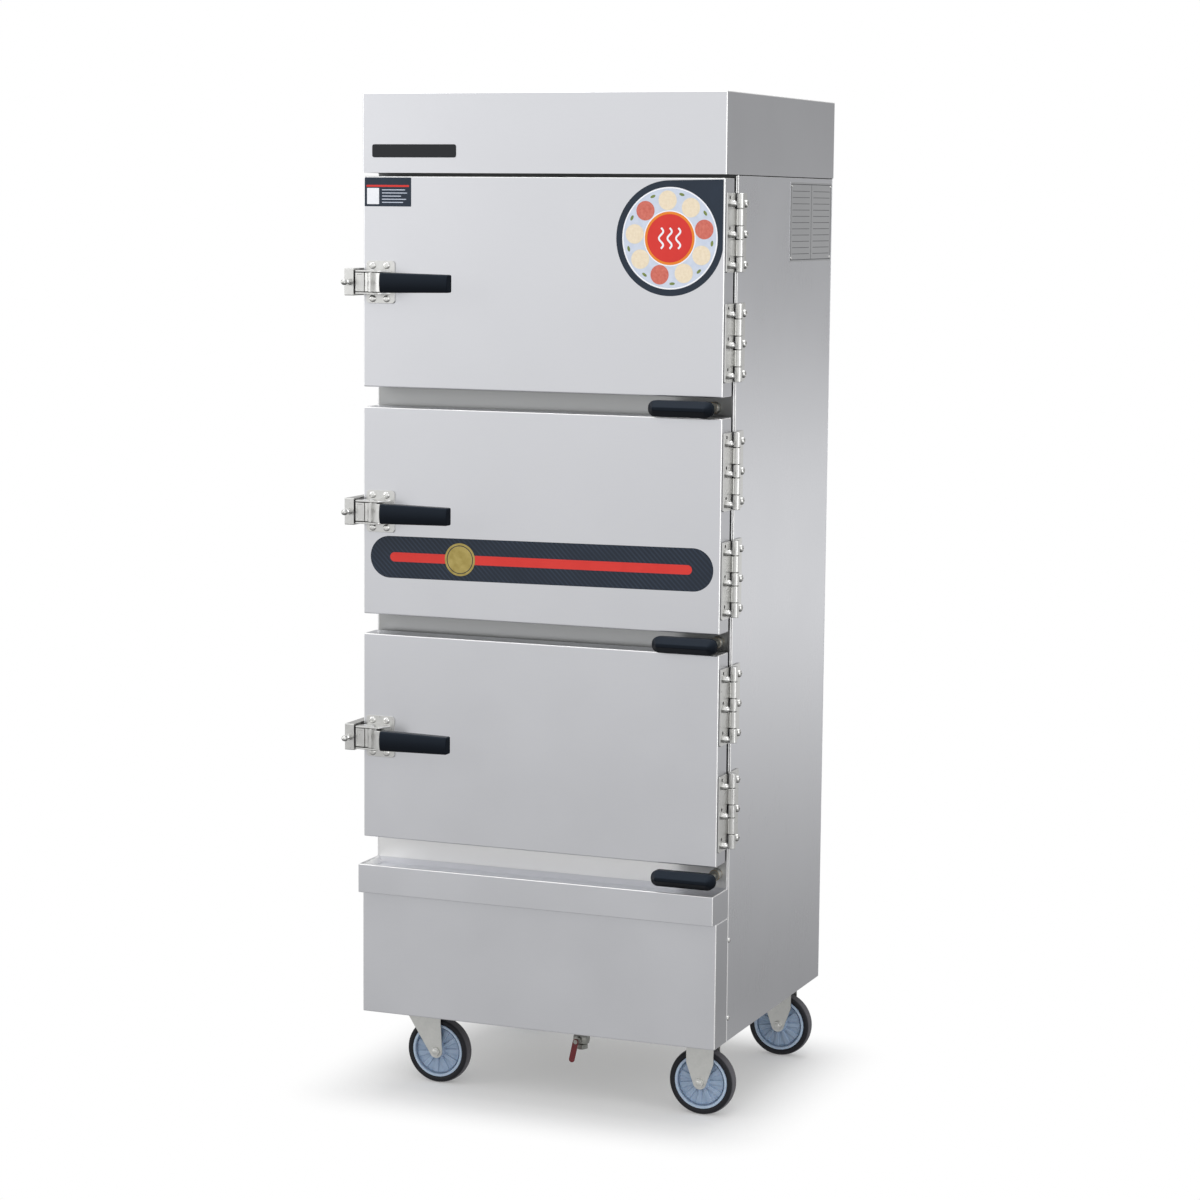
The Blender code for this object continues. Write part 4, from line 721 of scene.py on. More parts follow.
for number in (1, 2, 3):
    latch, door = f"latch_{number}", f"door_{number}"
    low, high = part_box(f"{latch}_base")
    level = (low.z + high.z) / 2
    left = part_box(f"{door}_shell")[0].x + PLATE_INSET
    back, front = high.y, high.y - PLATE_THICKNESS
    pin_x, pin_y = left - PLATE_INSET + PIN_INSET, door_front - PIN_FORWARD
    tip, reach, root = pin_x - NOSE_LENGTH, door_front - EAR_REACH, front + 0.5 * MM
    outline = rounded_outline((left, level - PLATE_HEIGHT / 2), (left + PLATE_WIDTH, level + PLATE_HEIGHT / 2),
                              PLATE_ROUND)
    shapes = [prism(outline, Y, front, back, PLATE_EDGE)]
    ear = [(tip + 2 * MM, reach), (pin_x + 6 * MM, reach)]
    ear += swept((pin_x + 13 * MM, reach), (pin_x + 19 * MM, reach), (pin_x + 20 * MM, root - 8 * MM),
                 (pin_x + EAR_LENGTH / 2, root), 6)
    ear += [(left + 0.6 * MM, root), (left + 0.6 * MM, front - 3 * MM), (tip, reach + 15 * MM), (tip, reach + 2 * MM)]
    screws = []
    for way in (-1, 1):
        inner = level + way * EAR_OPENING / 2
        outer = inner + way * EAR_THICKNESS
        shapes.append(prism(ear, Z, inner, outer, PLATE_EDGE))
        button = turned([(0, 0)] + beside(LATCH_PIN_RADIUS, 0, (1.6, 0), (1.6, 1.1), (0, 2.2)) + [(0, 2.5 * MM)],
                        (0, 0, 0), Z, 20)
        shapes.append(moved(button, (pin_x, pin_y, outer), Matrix.Rotation(0 if way > 0 else math.pi, 3, "X")))
        for inset in (PLATE_SCREW_INSET, PLATE_SCREW_INSET + PLATE_SCREW_SPAN_X):
            spot = (left + inset, front, level + way * PLATE_SCREW_SPAN_Z / 2)
            screws.append(moved(plate_head, spot, FACE_FRONT))
    rod = EAR_OPENING / 2 + EAR_THICKNESS
    shapes.append(turned(shaft(LATCH_PIN_RADIUS, -rod, rod), (pin_x, pin_y, level), Z, 20))
    piece(f"{latch}_plate_and_ears", shapes, door, cast_steel, f"{latch}_base")
    piece(f"{latch}_plate_screws", screws, door, screw_steel)

    # The lever's nose is a frame round a sunk panel, and its boss fills the space between the ears
    half_boss, half_lever = EAR_OPENING / 2 - BOSS_PLAY, LEVER_HEIGHT / 2
    nose_front, nose_back = pin_y - NOSE_THICKNESS / 2, pin_y + NOSE_THICKNESS / 2
    boss = turned(sleeve(LATCH_BORE, BOSS_RADIUS, -half_boss, half_boss, MM), (pin_x, pin_y, level), Z, 32)
    nose = cube((tip, nose_front, level - half_lever), (tip + NOSE_BLOCK, nose_back, level + half_lever))
    pressed(nose, facing(nose, FRONT), NOSE_FRAME, NOSE_SLOPE, NOSE_RECESS)
    round_edges(nose, sharp(nose, 60), 0.6 * MM, 2)
    web = cube((tip + NOSE_BLOCK - MM, nose_back - WEB_DEPTH, level - half_lever + MM),
               (pin_x, nose_back, level + half_lever - MM))
    grip_x, grip_y = pin_x + GRIP_START, door_front - GRIP_FORWARD
    neck_x, neck_y = tip + NOSE_BLOCK + NOSE_GROOVE, nose_front + NECK_THICKNESS / 2
    path = swept((neck_x, neck_y), (pin_x + 8 * MM, neck_y), (grip_x - 16 * MM, grip_y), (grip_x, grip_y), 16)
    neck = prism(ribbon(path, NECK_THICKNESS), Z, level - half_lever, level + half_lever, NECK_EDGE)
    tang = cube((grip_x - MM, grip_y - TANG_HALF, level - half_lever / 2),
                (grip_x + TANG_LENGTH, grip_y + TANG_HALF, level + half_lever / 2))
    piece(f"{latch}_lever_arm", [boss, nose, web, neck, tang], f"latch_lever_{number}", cast_steel, f"{latch}_lever")

    # The grip tapers towards its free end and its front is crowned. The doors' satin face doesn't mirror it
    low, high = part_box(f"{latch}_grip")
    middle, half_grip = (low.z + high.z) / 2, (high.z - low.z) / 2
    crown = [(low.y + GRIP_CROWN * (step / 6) ** 2, middle + half_grip * step / 6) for step in range(-6, 7)]
    grip = prism(crown + [(high.y, high.z), (high.y, low.z)], X, low.x, high.x)
    for vert in grip.verts:
        share = (vert.co.x - low.x) / (high.x - low.x)
        vert.co.z = middle + (vert.co.z - middle) * (1 - (1 - GRIP_END_SHARE) * share)
    round_edges(grip, sharp(grip, 40), GRIP_EDGE, 4)
    grip = piece(f"{latch}_moulded_grip", [grip], f"latch_lever_{number}", bakelite, f"{latch}_grip")
    grip.visible_glossy = False

# Keepers: channels of thick stainless plate on the left side, each with an adjusting bolt whose
# domed head stands ahead of the channel and whose thread shows behind its lock nut.
KEEPER_SHEET, KEEPER_FOLD, KEEPER_GAP, KEEPER_FORWARD = mm(2.5, 1.6, 4.5, 32)
KEEPER_NUT, KEEPER_NUT_LENGTH, KEEPER_BOLT, THREAD_PITCH, KEEPER_BOLT_BACK = mm(6.5, 6.0, 3.4, 1.25, 4)
FOOT_LENGTH, FOOT_HALF, CAP_END = mm(40, 12, 10.2)
thread_steel = brushed_stainless("oiled_thread_steel", "#77787A", "#5E5F61", Y, 0.38)


def thread(place, axis, start, end, radius, pitch):
    """A bolt shank with rings for its thread."""
    profile = [(0, start), (radius - pitch / 2, start)]
    count = int((end - start) / pitch)
    for ring in range(count):
        profile += [(radius, start + (ring + 0.5) * pitch), (radius - pitch / 2, start + (ring + 1) * pitch)]
    return turned(profile + [(0, start + count * pitch)], place, axis, 16)


for number in (1, 2, 3):
    low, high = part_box(f"keeper_{number}")
    level = (low.z + high.z) / 2
    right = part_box("side_panel_left")[0].x - KEEPER_GAP
    front = door_front - KEEPER_FORWARD
    bolt_x = (low.x + right) / 2
    channel = folded((low.x, front, low.z), (right, high.y, high.z), [RIGHT, BACK], KEEPER_FOLD, KEEPER_SHEET)
    foot = block((low.x + MM, high.y - FOOT_LENGTH, level - FOOT_HALF), (high.x, high.y - 0.6 * MM, level + FOOT_HALF),
                 edge=0.8 * MM)
    nut = hexagon_nut((bolt_x, front - KEEPER_NUT_LENGTH, level), Y, KEEPER_NUT_LENGTH, KEEPER_NUT)
    wide = KEEPER_NUT * 0.86
    cap = [(wide * share, along * MM) for share, along in (
        (0, 0), (0.35, 0.3), (0.62, 1.4), (0.82, 3.2), (0.95, 5.6), (1, 8), (1, 9.5))]
    cap = turned(cap + [(KEEPER_BOLT, CAP_END), (0, CAP_END)], (bolt_x, low.y, level), Y, 28)
    piece(f"keeper_{number}_channel", [channel, foot, nut, cap], "cabinet", cast_steel, f"keeper_{number}")
    bolt = thread((bolt_x, low.y, level), Y, CAP_END - 0.3 * MM, front + KEEPER_BOLT_BACK - low.y, KEEPER_BOLT,
                  THREAD_PITCH)
    piece(f"keeper_{number}_bolt_thread", [bolt], "cabinet", thread_steel)

# Steam valves: quarter-turn handles of black moulding, long bars with rounded ends whose faces slope to
# a narrow flat. Their spindles turn in sleeves of nickel-plated brass in the front frame.
VALVE_CHAMFER, VALVE_CORNER, VALVE_EDGE, VALVE_TAIL, VALVE_CLEARANCE = mm(11.5, 13, 1.2, 22, 3)
GLAND_RADIUS, GLAND_LENGTH, SPINDLE_RADIUS, SPINDLE_BORE, COLLAR_RADIUS = mm(10, 14, 5, 5.3, 9)
brass = mottled("turned_valve_brass", {"Metallic": 1.0}, "#8A6A3A", "#C9A765", (0.25, 0.45),
                12 * MM, detail=5.0, broken=0.7, shown=(0.3, 0.7))
plated = mottled("dulled_nickel_plated_brass", {"Metallic": 1.0}, "#8E8F8B", "#B4B4AE",
                 (0.28, 0.55), 8 * MM, detail=6.0, broken=0.7)
for number in (1, 2, 3):
    valve = f"steam_valve_{number}"
    low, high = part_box(f"{valve}_handle")
    level, half = (low.z + high.z) / 2, (high.z - low.z) / 2
    spindle_x, handle_back = high.x - VALVE_TAIL, door_front - VALVE_CLEARANCE
    outline = rounded_outline((low.x, level - half), (high.x, level + half), VALVE_CORNER, 5)
    bar = prism(outline, Y, low.y, handle_back)
    round_edges(bar, [e for e in bar.edges if all(abs(v.co.y - low.y) < MERGE for v in e.verts)], VALVE_CHAMFER, 1)
    round_edges(bar, sharp(bar, 20), VALVE_EDGE, 3)
    seat = handle_back - door_front
    collar = [(SPINDLE_BORE, seat - MM)] + beside(COLLAR_RADIUS, seat, (0, -1), (0, 4), (-1, 5)) + [
        (SPINDLE_BORE, seat + 5 * MM), (SPINDLE_BORE, seat - MM)]
    collar = turned(collar, (spindle_x, door_front, level), Y, 32)
    piece(f"{valve}_bar", [bar, collar], valve, bakelite, f"{valve}_handle")
    stem = turned(shaft(SPINDLE_RADIUS, seat - MM, high.y - door_front), (spindle_x, door_front, level), Y, 24)
    piece(f"{valve}_spindle", [stem], valve, plated)
    ring = [(SPINDLE_BORE, -0.2 * MM)] + beside(GLAND_RADIUS, 0, (-1, -0.2), (0.3, 1)) + beside(
        GLAND_RADIUS, GLAND_LENGTH, (0.3, -0.3)) + [(SPINDLE_BORE, GLAND_LENGTH - 0.3 * MM), (SPINDLE_BORE, -0.2 * MM)]
    gland = turned(ring, (spindle_x, frame_front - GLAND_LENGTH, level), Y, 32)
    piece(f"{valve}_gland_sleeve", [gland], "cabinet", plated)
repaint("steam_riser", brass)

# Casters: two swivel ones on the left and two fixed ones on the right. Pressed zinc-plated forks hold
# wheels with a black rubber tyre on a blue-grey nylon centre that has moulded ribs on both sides.
WHEEL_RADIUS, RIM_RADIUS, GROOVE_RADIUS, DISC_RADIUS, HUB_RADIUS, WHEEL_BORE = mm(62.5, 51, 44.8, 42.4, 14.5, 5.3)
TREAD_HALF, HUB_HALF, DISC_HALF, RIM_HALF, RIB_HALF, RIB_WIDTH, RIB_EDGE = mm(13.5, 16.2, 5.5, 11.5, 9.5, 6, 2.0)
RIB_COUNT, RIB_FLARE, RIB_SLOPE = 11, 2.1, 0.78
FORK_NEAR, FORK_FAR, FORK_EDGE, LEG_END, FIXED_LEG = mm(16.5, 19.5, 0.8, 13, 53)
PLATE_CORNER, PLATE_HOLE_INSET, PLATE_SHEET = mm(8, 12, 3)
RACE_RADIUS, RACE_BORE, RACE_HEIGHT, CROWN_RADIUS, CROWN_HEIGHT, KING_PIN = mm(36, 6.3, 8, 40, 9, 6)
AXLE_RADIUS, AXLE_NUT, AXLE_NUT_LENGTH, BAND_INSET, BAND_RISE = mm(5.4, 9.2, 5, 0.9, 0.5)
zinc, tree, shader, spot = material("zinc_plated_pressing", {"Metallic": 1.0})
spangle = add(tree, "TexVoronoi", {"Vector": spot, "Scale": 1 / (4 * MM)})
haze = add(tree, "TexNoise", {"Vector": spot, "Scale": 1 / (15 * MM), "Detail": 4.0})
both = add(tree, "Mix", {0: 0.75, 2: spangle, 3: haze})
shaded(tree, shader, both, "#CFD0CD", "#E6E6E3", (0.36, 0.56))
# Moulded rubber is matt and takes a dusty bloom on its tread, where the moulding is finely textured
rubber = mottled("moulded_black_rubber_tyre", {"IOR": 1.5, "Specular IOR Level": 0.4}, "#101219",
                 "#101219", (0.5, 0.75), 1.5 * MM, detail=4.0, relief=(0.35, 0.15 * MM))
laid_over(rubber, looking(rubber.node_tree, "Y", 0.25, 0.75, 0.0, 1.0, either_way=True), "#56555A")
# The rim's two side bands are paler than the rest of the moulding
nylon, pale_nylon = (
    mottled(name, {"IOR": 1.53, "Subsurface Weight": 0.04, "Subsurface Scale": 2 * MM}, dark, light,
            (0.34, 0.5), 10 * MM, detail=4.0)
    for name, dark, light in (("blue_grey_moulded_nylon", "#8299B6", "#A9BACE"),
                              ("paler_moulded_nylon", "#A0B3CA", "#B9C9DB")))


def both_ways(profile):
    """A profile of one half of a turned piece, mirrored into a closed ring."""
    return profile + [(radius, -along) for radius, along in reversed(profile)] + profile[:1]


def caster_wheel(name, axle_x, axle_y):
    """The tyre and the ribbed centre of one wheel."""
    place = (axle_x, axle_y, WHEEL_RADIUS)
    tread = beside(RIM_RADIUS, TREAD_HALF, (-2, -4), (-1, -2.4), (1, -1.4), (2, -0.4), (4, 0))
    tread += beside(WHEEL_RADIUS, TREAD_HALF, (-5, -0.4), (-2.4, -1.8), (-1.2, -4), (-0.3, -8), (0, -11.5))
    piece(f"{name}_tyre", [turned(both_ways(tread), place, Y, 96)], f"{name}_roller", rubber)
    core = [(WHEEL_BORE, HUB_HALF)] + beside(HUB_RADIUS, HUB_HALF, (-1, 0), (0, -1))
    core += beside(HUB_RADIUS, DISC_HALF, (1.5, 1), (3, 0)) + beside(DISC_RADIUS, DISC_HALF, (-1, 0), (0, 1))
    core += beside(DISC_RADIUS, RIM_HALF, (0.4, -2.5), (0.8, -6))
    core += beside(GROOVE_RADIUS, RIM_HALF, (0, -6), (0.6, 0), (1.4, 0.7))
    core += beside(RIM_RADIUS, RIM_HALF, (-1.2, 0.7), (-0.3, 0), (-0.3, -2.3), (-1.7, -2.3))
    shapes = [turned(both_ways(core), place, Y, 96)]
    for rib in range(RIB_COUNT):
        web = block((HUB_RADIUS - 2 * MM, -RIB_HALF, -RIB_WIDTH / 2), (DISC_RADIUS + 0.5 * MM, RIB_HALF, RIB_WIDTH / 2))
        outer_end = [v for v in web.verts if v.co.x > HUB_RADIUS]
        bmesh.ops.scale(web, vec=(1, RIB_SLOPE, RIB_FLARE), verts=outer_end)
        web.normal_update()
        round_edges(web, [e for e in web.edges if abs((e.verts[1].co - e.verts[0].co).normalized().x) > 0.9],
                    RIB_EDGE, 3)
        shapes.append(moved(web, place, Matrix.Rotation(math.tau * rib / RIB_COUNT, 3, "Y")))
    piece(f"{name}_centre", shapes, f"{name}_roller", nylon, f"{name}_wheel")
    inner, outer = GROOVE_RADIUS + 0.6 * MM + BAND_INSET, RIM_RADIUS - BAND_INSET
    face = RIM_HALF + 0.5 * MM
    band = [(inner, face), (inner, face + BAND_RISE), (outer, face + BAND_RISE), (outer, face), (inner, face)]
    bands = [turned([(radius, side * along) for radius, along in band], place, Y, 96) for side in (-1, 1)]
    piece(f"{name}_rim_band", bands, f"{name}_roller", pale_nylon)


def fork_legs(outline, place_y):
    """The two pressed legs of a fork, rounded at their rims."""
    return [prism(outline, Y, place_y + side * FORK_NEAR, place_y + side * FORK_FAR, FORK_EDGE) for side in (-1, 1)]


def axle_ends(axle_x, place_y):
    """The axle bolt with a hexagon head, and a nut under a domed end."""
    place, outer = (axle_x, place_y, WHEEL_RADIUS), FORK_FAR + AXLE_NUT_LENGTH
    shapes = [turned(shaft(AXLE_RADIUS, -FORK_FAR - MM, FORK_FAR + MM), place, Y, 24)]
    dome = [(AXLE_RADIUS * share, outer + rise * MM) for share, rise in (
        (0, 0), (1, 0), (1, 0.4), (0.85, 1), (0.5, 1.5), (0, 1.6))]
    for side, start in ((-1, -outer), (1, FORK_FAR)):
        nut_place = (axle_x, place_y + start, WHEEL_RADIUS)
        shapes.append(hexagon_nut(nut_place, Y, AXLE_NUT_LENGTH, AXLE_NUT, 0.5 * MM))
        shapes.append(turned([(radius, side * along) for radius, along in dome], place, Y, 24))
    return shapes


def top_plate(low, high):
    """A mounting plate with four bolt heads under it."""
    plate = prism(rounded_outline((low.x, low.y), (high.x, high.y), PLATE_CORNER), Z, high.z - PLATE_SHEET, high.z,
                  0.5 * MM)
    return [plate] + [hexagon_nut((along, back, high.z - PLATE_SHEET - 4 * MM), Z, 4.2 * MM, 6.2 * MM, 0.5 * MM)
                      for along in (low.x + PLATE_HOLE_INSET, high.x - PLATE_HOLE_INSET)
                      for back in (low.y + PLATE_HOLE_INSET, high.y - PLATE_HOLE_INSET)]


for end in ("front", "rear"):
    name = f"caster_{end}_left"
    low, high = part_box(f"{name}_plate")
    swivel_x, place_y = (low.x + high.x) / 2, (low.y + high.y) / 2
    race_low = low.z
    race = [(RACE_BORE, 0)] + beside(RACE_RADIUS, 0, (-2, 0), (-0.5, 1.5), (0, 3), (0, 5)) + beside(
        RACE_RADIUS, RACE_HEIGHT, (-2, 0.5)) + [(RACE_BORE, RACE_HEIGHT + 0.5 * MM), (RACE_BORE, 0)]
    piece(f"{name}_mounting_plate", top_plate(low, high) + [turned(race, (swivel_x, place_y, race_low), Z, 64)],
          "cabinet", zinc, f"{name}_plate")
    low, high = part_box(f"{name}_wheel")
    axle_x = (low.x + high.x) / 2
    crown_low = race_low - 0.3 * MM - CROWN_HEIGHT
    crown = [(0, 0)] + beside(CROWN_RADIUS, 0, (-1.5, 0), (0, 1.5)) + beside(
        CROWN_RADIUS, CROWN_HEIGHT, (0, -3), (-2.5, -0.6), (-5, 0)) + [(0, CROWN_HEIGHT)]
    king_pin = shaft(KING_PIN, 0, CROWN_HEIGHT + RACE_HEIGHT - MM)
    edge = math.sqrt(CROWN_RADIUS ** 2 - FORK_FAR ** 2)
    leg = [(swivel_x + edge, crown_low + MM), (swivel_x - edge, crown_low + MM)]
    leg += arc_points((axle_x, WHEEL_RADIUS), LEG_END, 205, 360, 14)
    under = (swivel_x, place_y, crown_low)
    shapes = [turned(crown, under, Z, 64), turned(king_pin, under, Z, 24)]
    shapes += fork_legs(leg, place_y) + axle_ends(axle_x, place_y)
    piece(f"{name}_swivel_fork", shapes, f"{name}_swivel", zinc, f"{name}_fork")
    caster_wheel(name, axle_x, place_y)

    name = f"caster_{end}_right"
    low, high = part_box(f"{name}_wheel")
    fixed_x = (low.x + high.x) / 2
    low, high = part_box(f"{name}_fork")
    half_leg, shoulder, leg_top = FIXED_LEG / 2, 2 * WHEEL_RADIUS - FIXED_LEG / 2, high.z - 2.5 * MM
    leg = [(fixed_x + half_leg, leg_top), (fixed_x - half_leg, leg_top), (fixed_x - half_leg, shoulder)]
    leg += arc_points((fixed_x, WHEEL_RADIUS), LEG_END, 205, 335, 14) + [(fixed_x + half_leg, shoulder)]
    piece(f"{name}_fixed_fork", top_plate(low, high) + fork_legs(leg, place_y) + axle_ends(fixed_x, place_y), "cabinet",
          zinc, f"{name}_fork")
    caster_wheel(name, fixed_x, place_y)

# Drain: a cast brass ball valve on the drain pipe below the floor pan, dulled by condensate, with a
# red vinyl-dipped lever held by a nut on its stem.
PIPE_RADIUS, PIPE_BORE, DRAIN_BALL, BALL_RISE, DRAIN_HEXAGON, STEM_RADIUS, STEM_NUT = mm(8, 5, 13, 20, 12.4, 4, 6.4)
LEVER_LENGTH, LEVER_HALF, LEVER_THICKNESS, LEVER_EDGE, LEVER_EYE = mm(40, 5.5, 3, 0.9, 4.3)
LEVER_LEAN = math.radians(12)
low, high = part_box("drain_valve_body")
drain_x, drain_y, ball_z = high.x - DRAIN_BALL, high.y - DRAIN_BALL, low.z + BALL_RISE
pipe = [(PIPE_BORE, low.z), (PIPE_RADIUS - 0.6 * MM, low.z), (PIPE_RADIUS, low.z + 0.6 * MM),
        (PIPE_RADIUS, high.z), (PIPE_BORE, high.z), (PIPE_BORE, low.z)]
barrel = [mm(*spot) for spot in (
    (0, -13), (9, -13), (12, -8), (13, -5), (13, 5), (12, 8), (9, 13), (0, 13))]
gland = shaft(STEM_RADIUS, 0, 9 * MM)[:3] + [(STEM_NUT, 9.5 * MM), (STEM_NUT, 20 * MM), (0, 20 * MM)]
shapes = [hexagon_nut((drain_x, drain_y, low.z + 1.5 * MM), Z, 8 * MM, DRAIN_HEXAGON),
          hexagon_nut((drain_x, drain_y, ball_z + 11 * MM), Z, 9 * MM, DRAIN_HEXAGON),
          turned(pipe, (drain_x, drain_y, 0), Z), turned(barrel, (drain_x, drain_y, ball_z), X),
          turned(gland, (drain_x, low.y, ball_z), Y, 24)]
piece("drain_ball_valve", shapes, "cabinet", plated, "drain_valve_body")
red_vinyl = mottled("red_vinyl_dip", {"IOR": 1.5, "Coat Weight": 0.2, "Coat Roughness": 0.2}, "#52060F",
                    "#700A18", (0.28, 0.42), 6 * MM)
blade = arc_points((0, 0), LEVER_HALF, 0, 180, 12)
blade += arc_points((0, LEVER_HALF - LEVER_LENGTH), LEVER_HALF, 180, 360, 12)
blade = carved(prism(blade, Y, 0, LEVER_THICKNESS, LEVER_EDGE, 3),
               [turned(shaft(LEVER_EYE, -MM, LEVER_THICKNESS + MM), (0, 0, 0), Y, 24)])
blade = moved(blade, (drain_x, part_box("drain_lever")[0].y, ball_z), Matrix.Rotation(LEVER_LEAN, 3, "Y"))
piece("drain_dipped_lever", [blade], "drain_handle", red_vinyl, "drain_lever")

# Inside: welded stainless compartment boxes with tray runners, and the zinc-plated floor pan. Their
# folded sheets are complete as they are, and take the dull finish that steam leaves.
for number in (1, 2, 3):
    repaint(f"compartment_{number}_liner", liner_steel)
repaint("base_frame", zinc)

# Printed films on the doors: thin gloss vinyl, cut to shape and pressed on flat. Each holds plain
# shapes of its own: a round film in door 1's top corner, a small panel, and a long band on door 2.
FILM = 0.22 * MM
ROUND_FILM_X, ROUND_FILM_Z, ROUND_FILM_RADIUS, FILM_CORNER_MARGIN = mm(250, 1596.5, 100.5, 3)
WHITE_RING, FIELD_RADIUS, CENTRE_RADIUS, CENTRE_RIM, CENTRE_RING = mm(89, 86.5, 42, 4.5, 2)
BUN_COUNT, BUN_TURN = 9, 0.35
BUN_RADIUS, BUN_PLACE, LEAF_PLACE, LEAF_LONG, LEAF_WIDE = mm(17, 66, 79, 5, 2.4)
WISP_SPACING, WISP_SWAY, WISP_HALF, WISP_WIDTH = mm(16, 4, 18, 3.4)


def printed_film(name, dark, light, patch=30 * MM, metallic=0.0):
    """Gloss-printed vinyl: one ink with a slight cloudiness, and the faint waviness of a hand-laid film."""
    return mottled(name, {"IOR": 1.46, "Specular IOR Level": 0.4, "Metallic": metallic}, dark, light,
                   (0.3, 0.5), patch, detail=4.0, relief=(0.1, 0.2 * MM))


def film(points, layer, shift=(0, 0)):
    """A cut film on the door's front. Layers lie on one another from 0 up."""
    shifted = [(u + shift[0], v + shift[1]) for u, v in points]
    return prism(shifted, Y, door_front - (layer + 1) * FILM, door_front - layer * FILM)


def disc(centre, radius, steps=72):
    return arc_points(centre, radius, 0, 360 - 360 / steps, steps - 1)


def film_ring(centre, outer, inner, layer):
    front, back = -(layer + 1) * FILM, -layer * FILM
    profile = [(inner, front), (outer, front), (outer, back), (inner, back), (inner, front)]
    return turned(profile, (centre[0], door_front, centre[1]), Y, 96)


def oblong(left, low, right, high):
    return [(left, low), (right, low), (right, high), (left, high)]


navy = printed_film("navy_printed_vinyl", "#18222F", "#202D3D")
white_ink = printed_film("white_printed_vinyl", "#E4E6EC", "#F2F3F7")
red_ink = printed_film("red_printed_vinyl", "#C92E29", "#D63A33")
orange_ink = printed_film("orange_printed_vinyl", "#DC7C25", "#E78B33")
pale_ink = printed_film("pale_blue_printed_vinyl", "#B9C3D6", "#D2D9E6", 9 * MM)
cream_ink = printed_film("cream_printed_vinyl", "#D9C7A8", "#F0E4CE", 5 * MM)
coral_ink = printed_film("coral_printed_vinyl", "#B4493F", "#DB8473", 5 * MM)
leaf_ink = printed_film("leaf_green_printed_vinyl", "#4E6238", "#8C9A55", 4 * MM)
middle = (ROUND_FILM_X, ROUND_FILM_Z)
corner_x, corner_z = door_right - FILM_CORNER_MARGIN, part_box("door_1_shell")[1].z - FILM_CORNER_MARGIN
edge_points = arc_points(middle, ROUND_FILM_RADIUS, 90, 360, 72) + [(ROUND_FILM_X + ROUND_FILM_RADIUS, corner_z)]
rings = [film_ring(middle, WHITE_RING, FIELD_RADIUS, 1),
         film_ring(middle, CENTRE_RADIUS + CENTRE_RIM + CENTRE_RING, CENTRE_RADIUS + CENTRE_RIM, 2)]
buns, fillings, leaves = [], [], []
for number in range(BUN_COUNT):
    turn = math.tau * (number + BUN_TURN) / BUN_COUNT
    spot = (middle[0] + BUN_PLACE * math.cos(turn), middle[1] + BUN_PLACE * math.sin(turn))
    (buns if number % 3 else fillings).append(film(disc(spot, BUN_RADIUS, 40), 2))
    turn += math.pi / BUN_COUNT
    spot = (middle[0] + LEAF_PLACE * math.cos(turn), middle[1] + LEAF_PLACE * math.sin(turn))
    leaf = [(LEAF_LONG * u, LEAF_WIDE * v) for u, v in disc((0, 0), 1, 20)]
    cosine, sine = math.cos(turn + math.pi / 2), math.sin(turn + math.pi / 2)
    leaves.append(film([(u * cosine - v * sine, u * sine + v * cosine) for u, v in leaf], 2, spot))
wisps = []
for place in (-WISP_SPACING, 0, WISP_SPACING):
    path = [(middle[0] + place + WISP_SWAY * math.sin(math.tau * step / 16),
             middle[1] - WISP_HALF + 2 * WISP_HALF * step / 24) for step in range(25)]
    wisps.append(film(ribbon(path, WISP_WIDTH), 4))
for name, shapes, ink in (
        ("ground", [film([(min(u, corner_x), min(v, corner_z)) for u, v in edge_points], 0)], navy),
        ("field", [film(disc(middle, FIELD_RADIUS), 1)], pale_ink),
        ("rings", rings, white_ink), ("cream_discs", buns, cream_ink), ("coral_discs", fillings, coral_ink),
        ("leaves", leaves, leaf_ink),
        ("centre_rim", [film(disc(middle, CENTRE_RADIUS + CENTRE_RIM), 2)], orange_ink),
        ("centre", [film(disc(middle, CENTRE_RADIUS), 3)], red_ink), ("steam_wisps", wisps, white_ink)):
    piece(f"round_film_{name}", shapes, "door_1", ink)

# Small panel film: a navy ground with a red rule, a blank white box and pale ruled lines
PANEL_LEFT, PANEL_RIGHT, PANEL_LOW, PANEL_HIGH = mm(-342, -249, 1647.5, 1699.5)
LINE_LEFT, LINE_TOP, LINE_PITCH, LINE_WEIGHT = PANEL_LEFT + 35 * MM, PANEL_HIGH - 23 * MM, 5.6 * MM, 1.5 * MM
lines = []
for step, length in enumerate((46, 50, 38, 48, 42)):
    base = LINE_TOP - step * LINE_PITCH
    lines.append(film(oblong(LINE_LEFT, base, LINE_LEFT + length * MM, base + LINE_WEIGHT), 1))
rule = oblong(PANEL_LEFT + 4 * MM, PANEL_HIGH - 17 * MM, PANEL_RIGHT - 4 * MM, PANEL_HIGH - 13.5 * MM)
box = rounded_outline((PANEL_LEFT + 5 * MM, PANEL_LOW + 4 * MM), (PANEL_LEFT + 29 * MM, PANEL_HIGH - 19 * MM), MM)
for name, shapes, ink in (
        ("ground", [film(rounded_outline((PANEL_LEFT, PANEL_LOW), (PANEL_RIGHT, PANEL_HIGH), MM), 0)], navy),
        ("red_rule", [film(rule, 1)], red_ink), ("blank_box", [film(box, 1)], white_ink),
        ("ruled_lines", lines, pale_ink)):
    piece(f"panel_film_{name}", shapes, "door_1", ink)

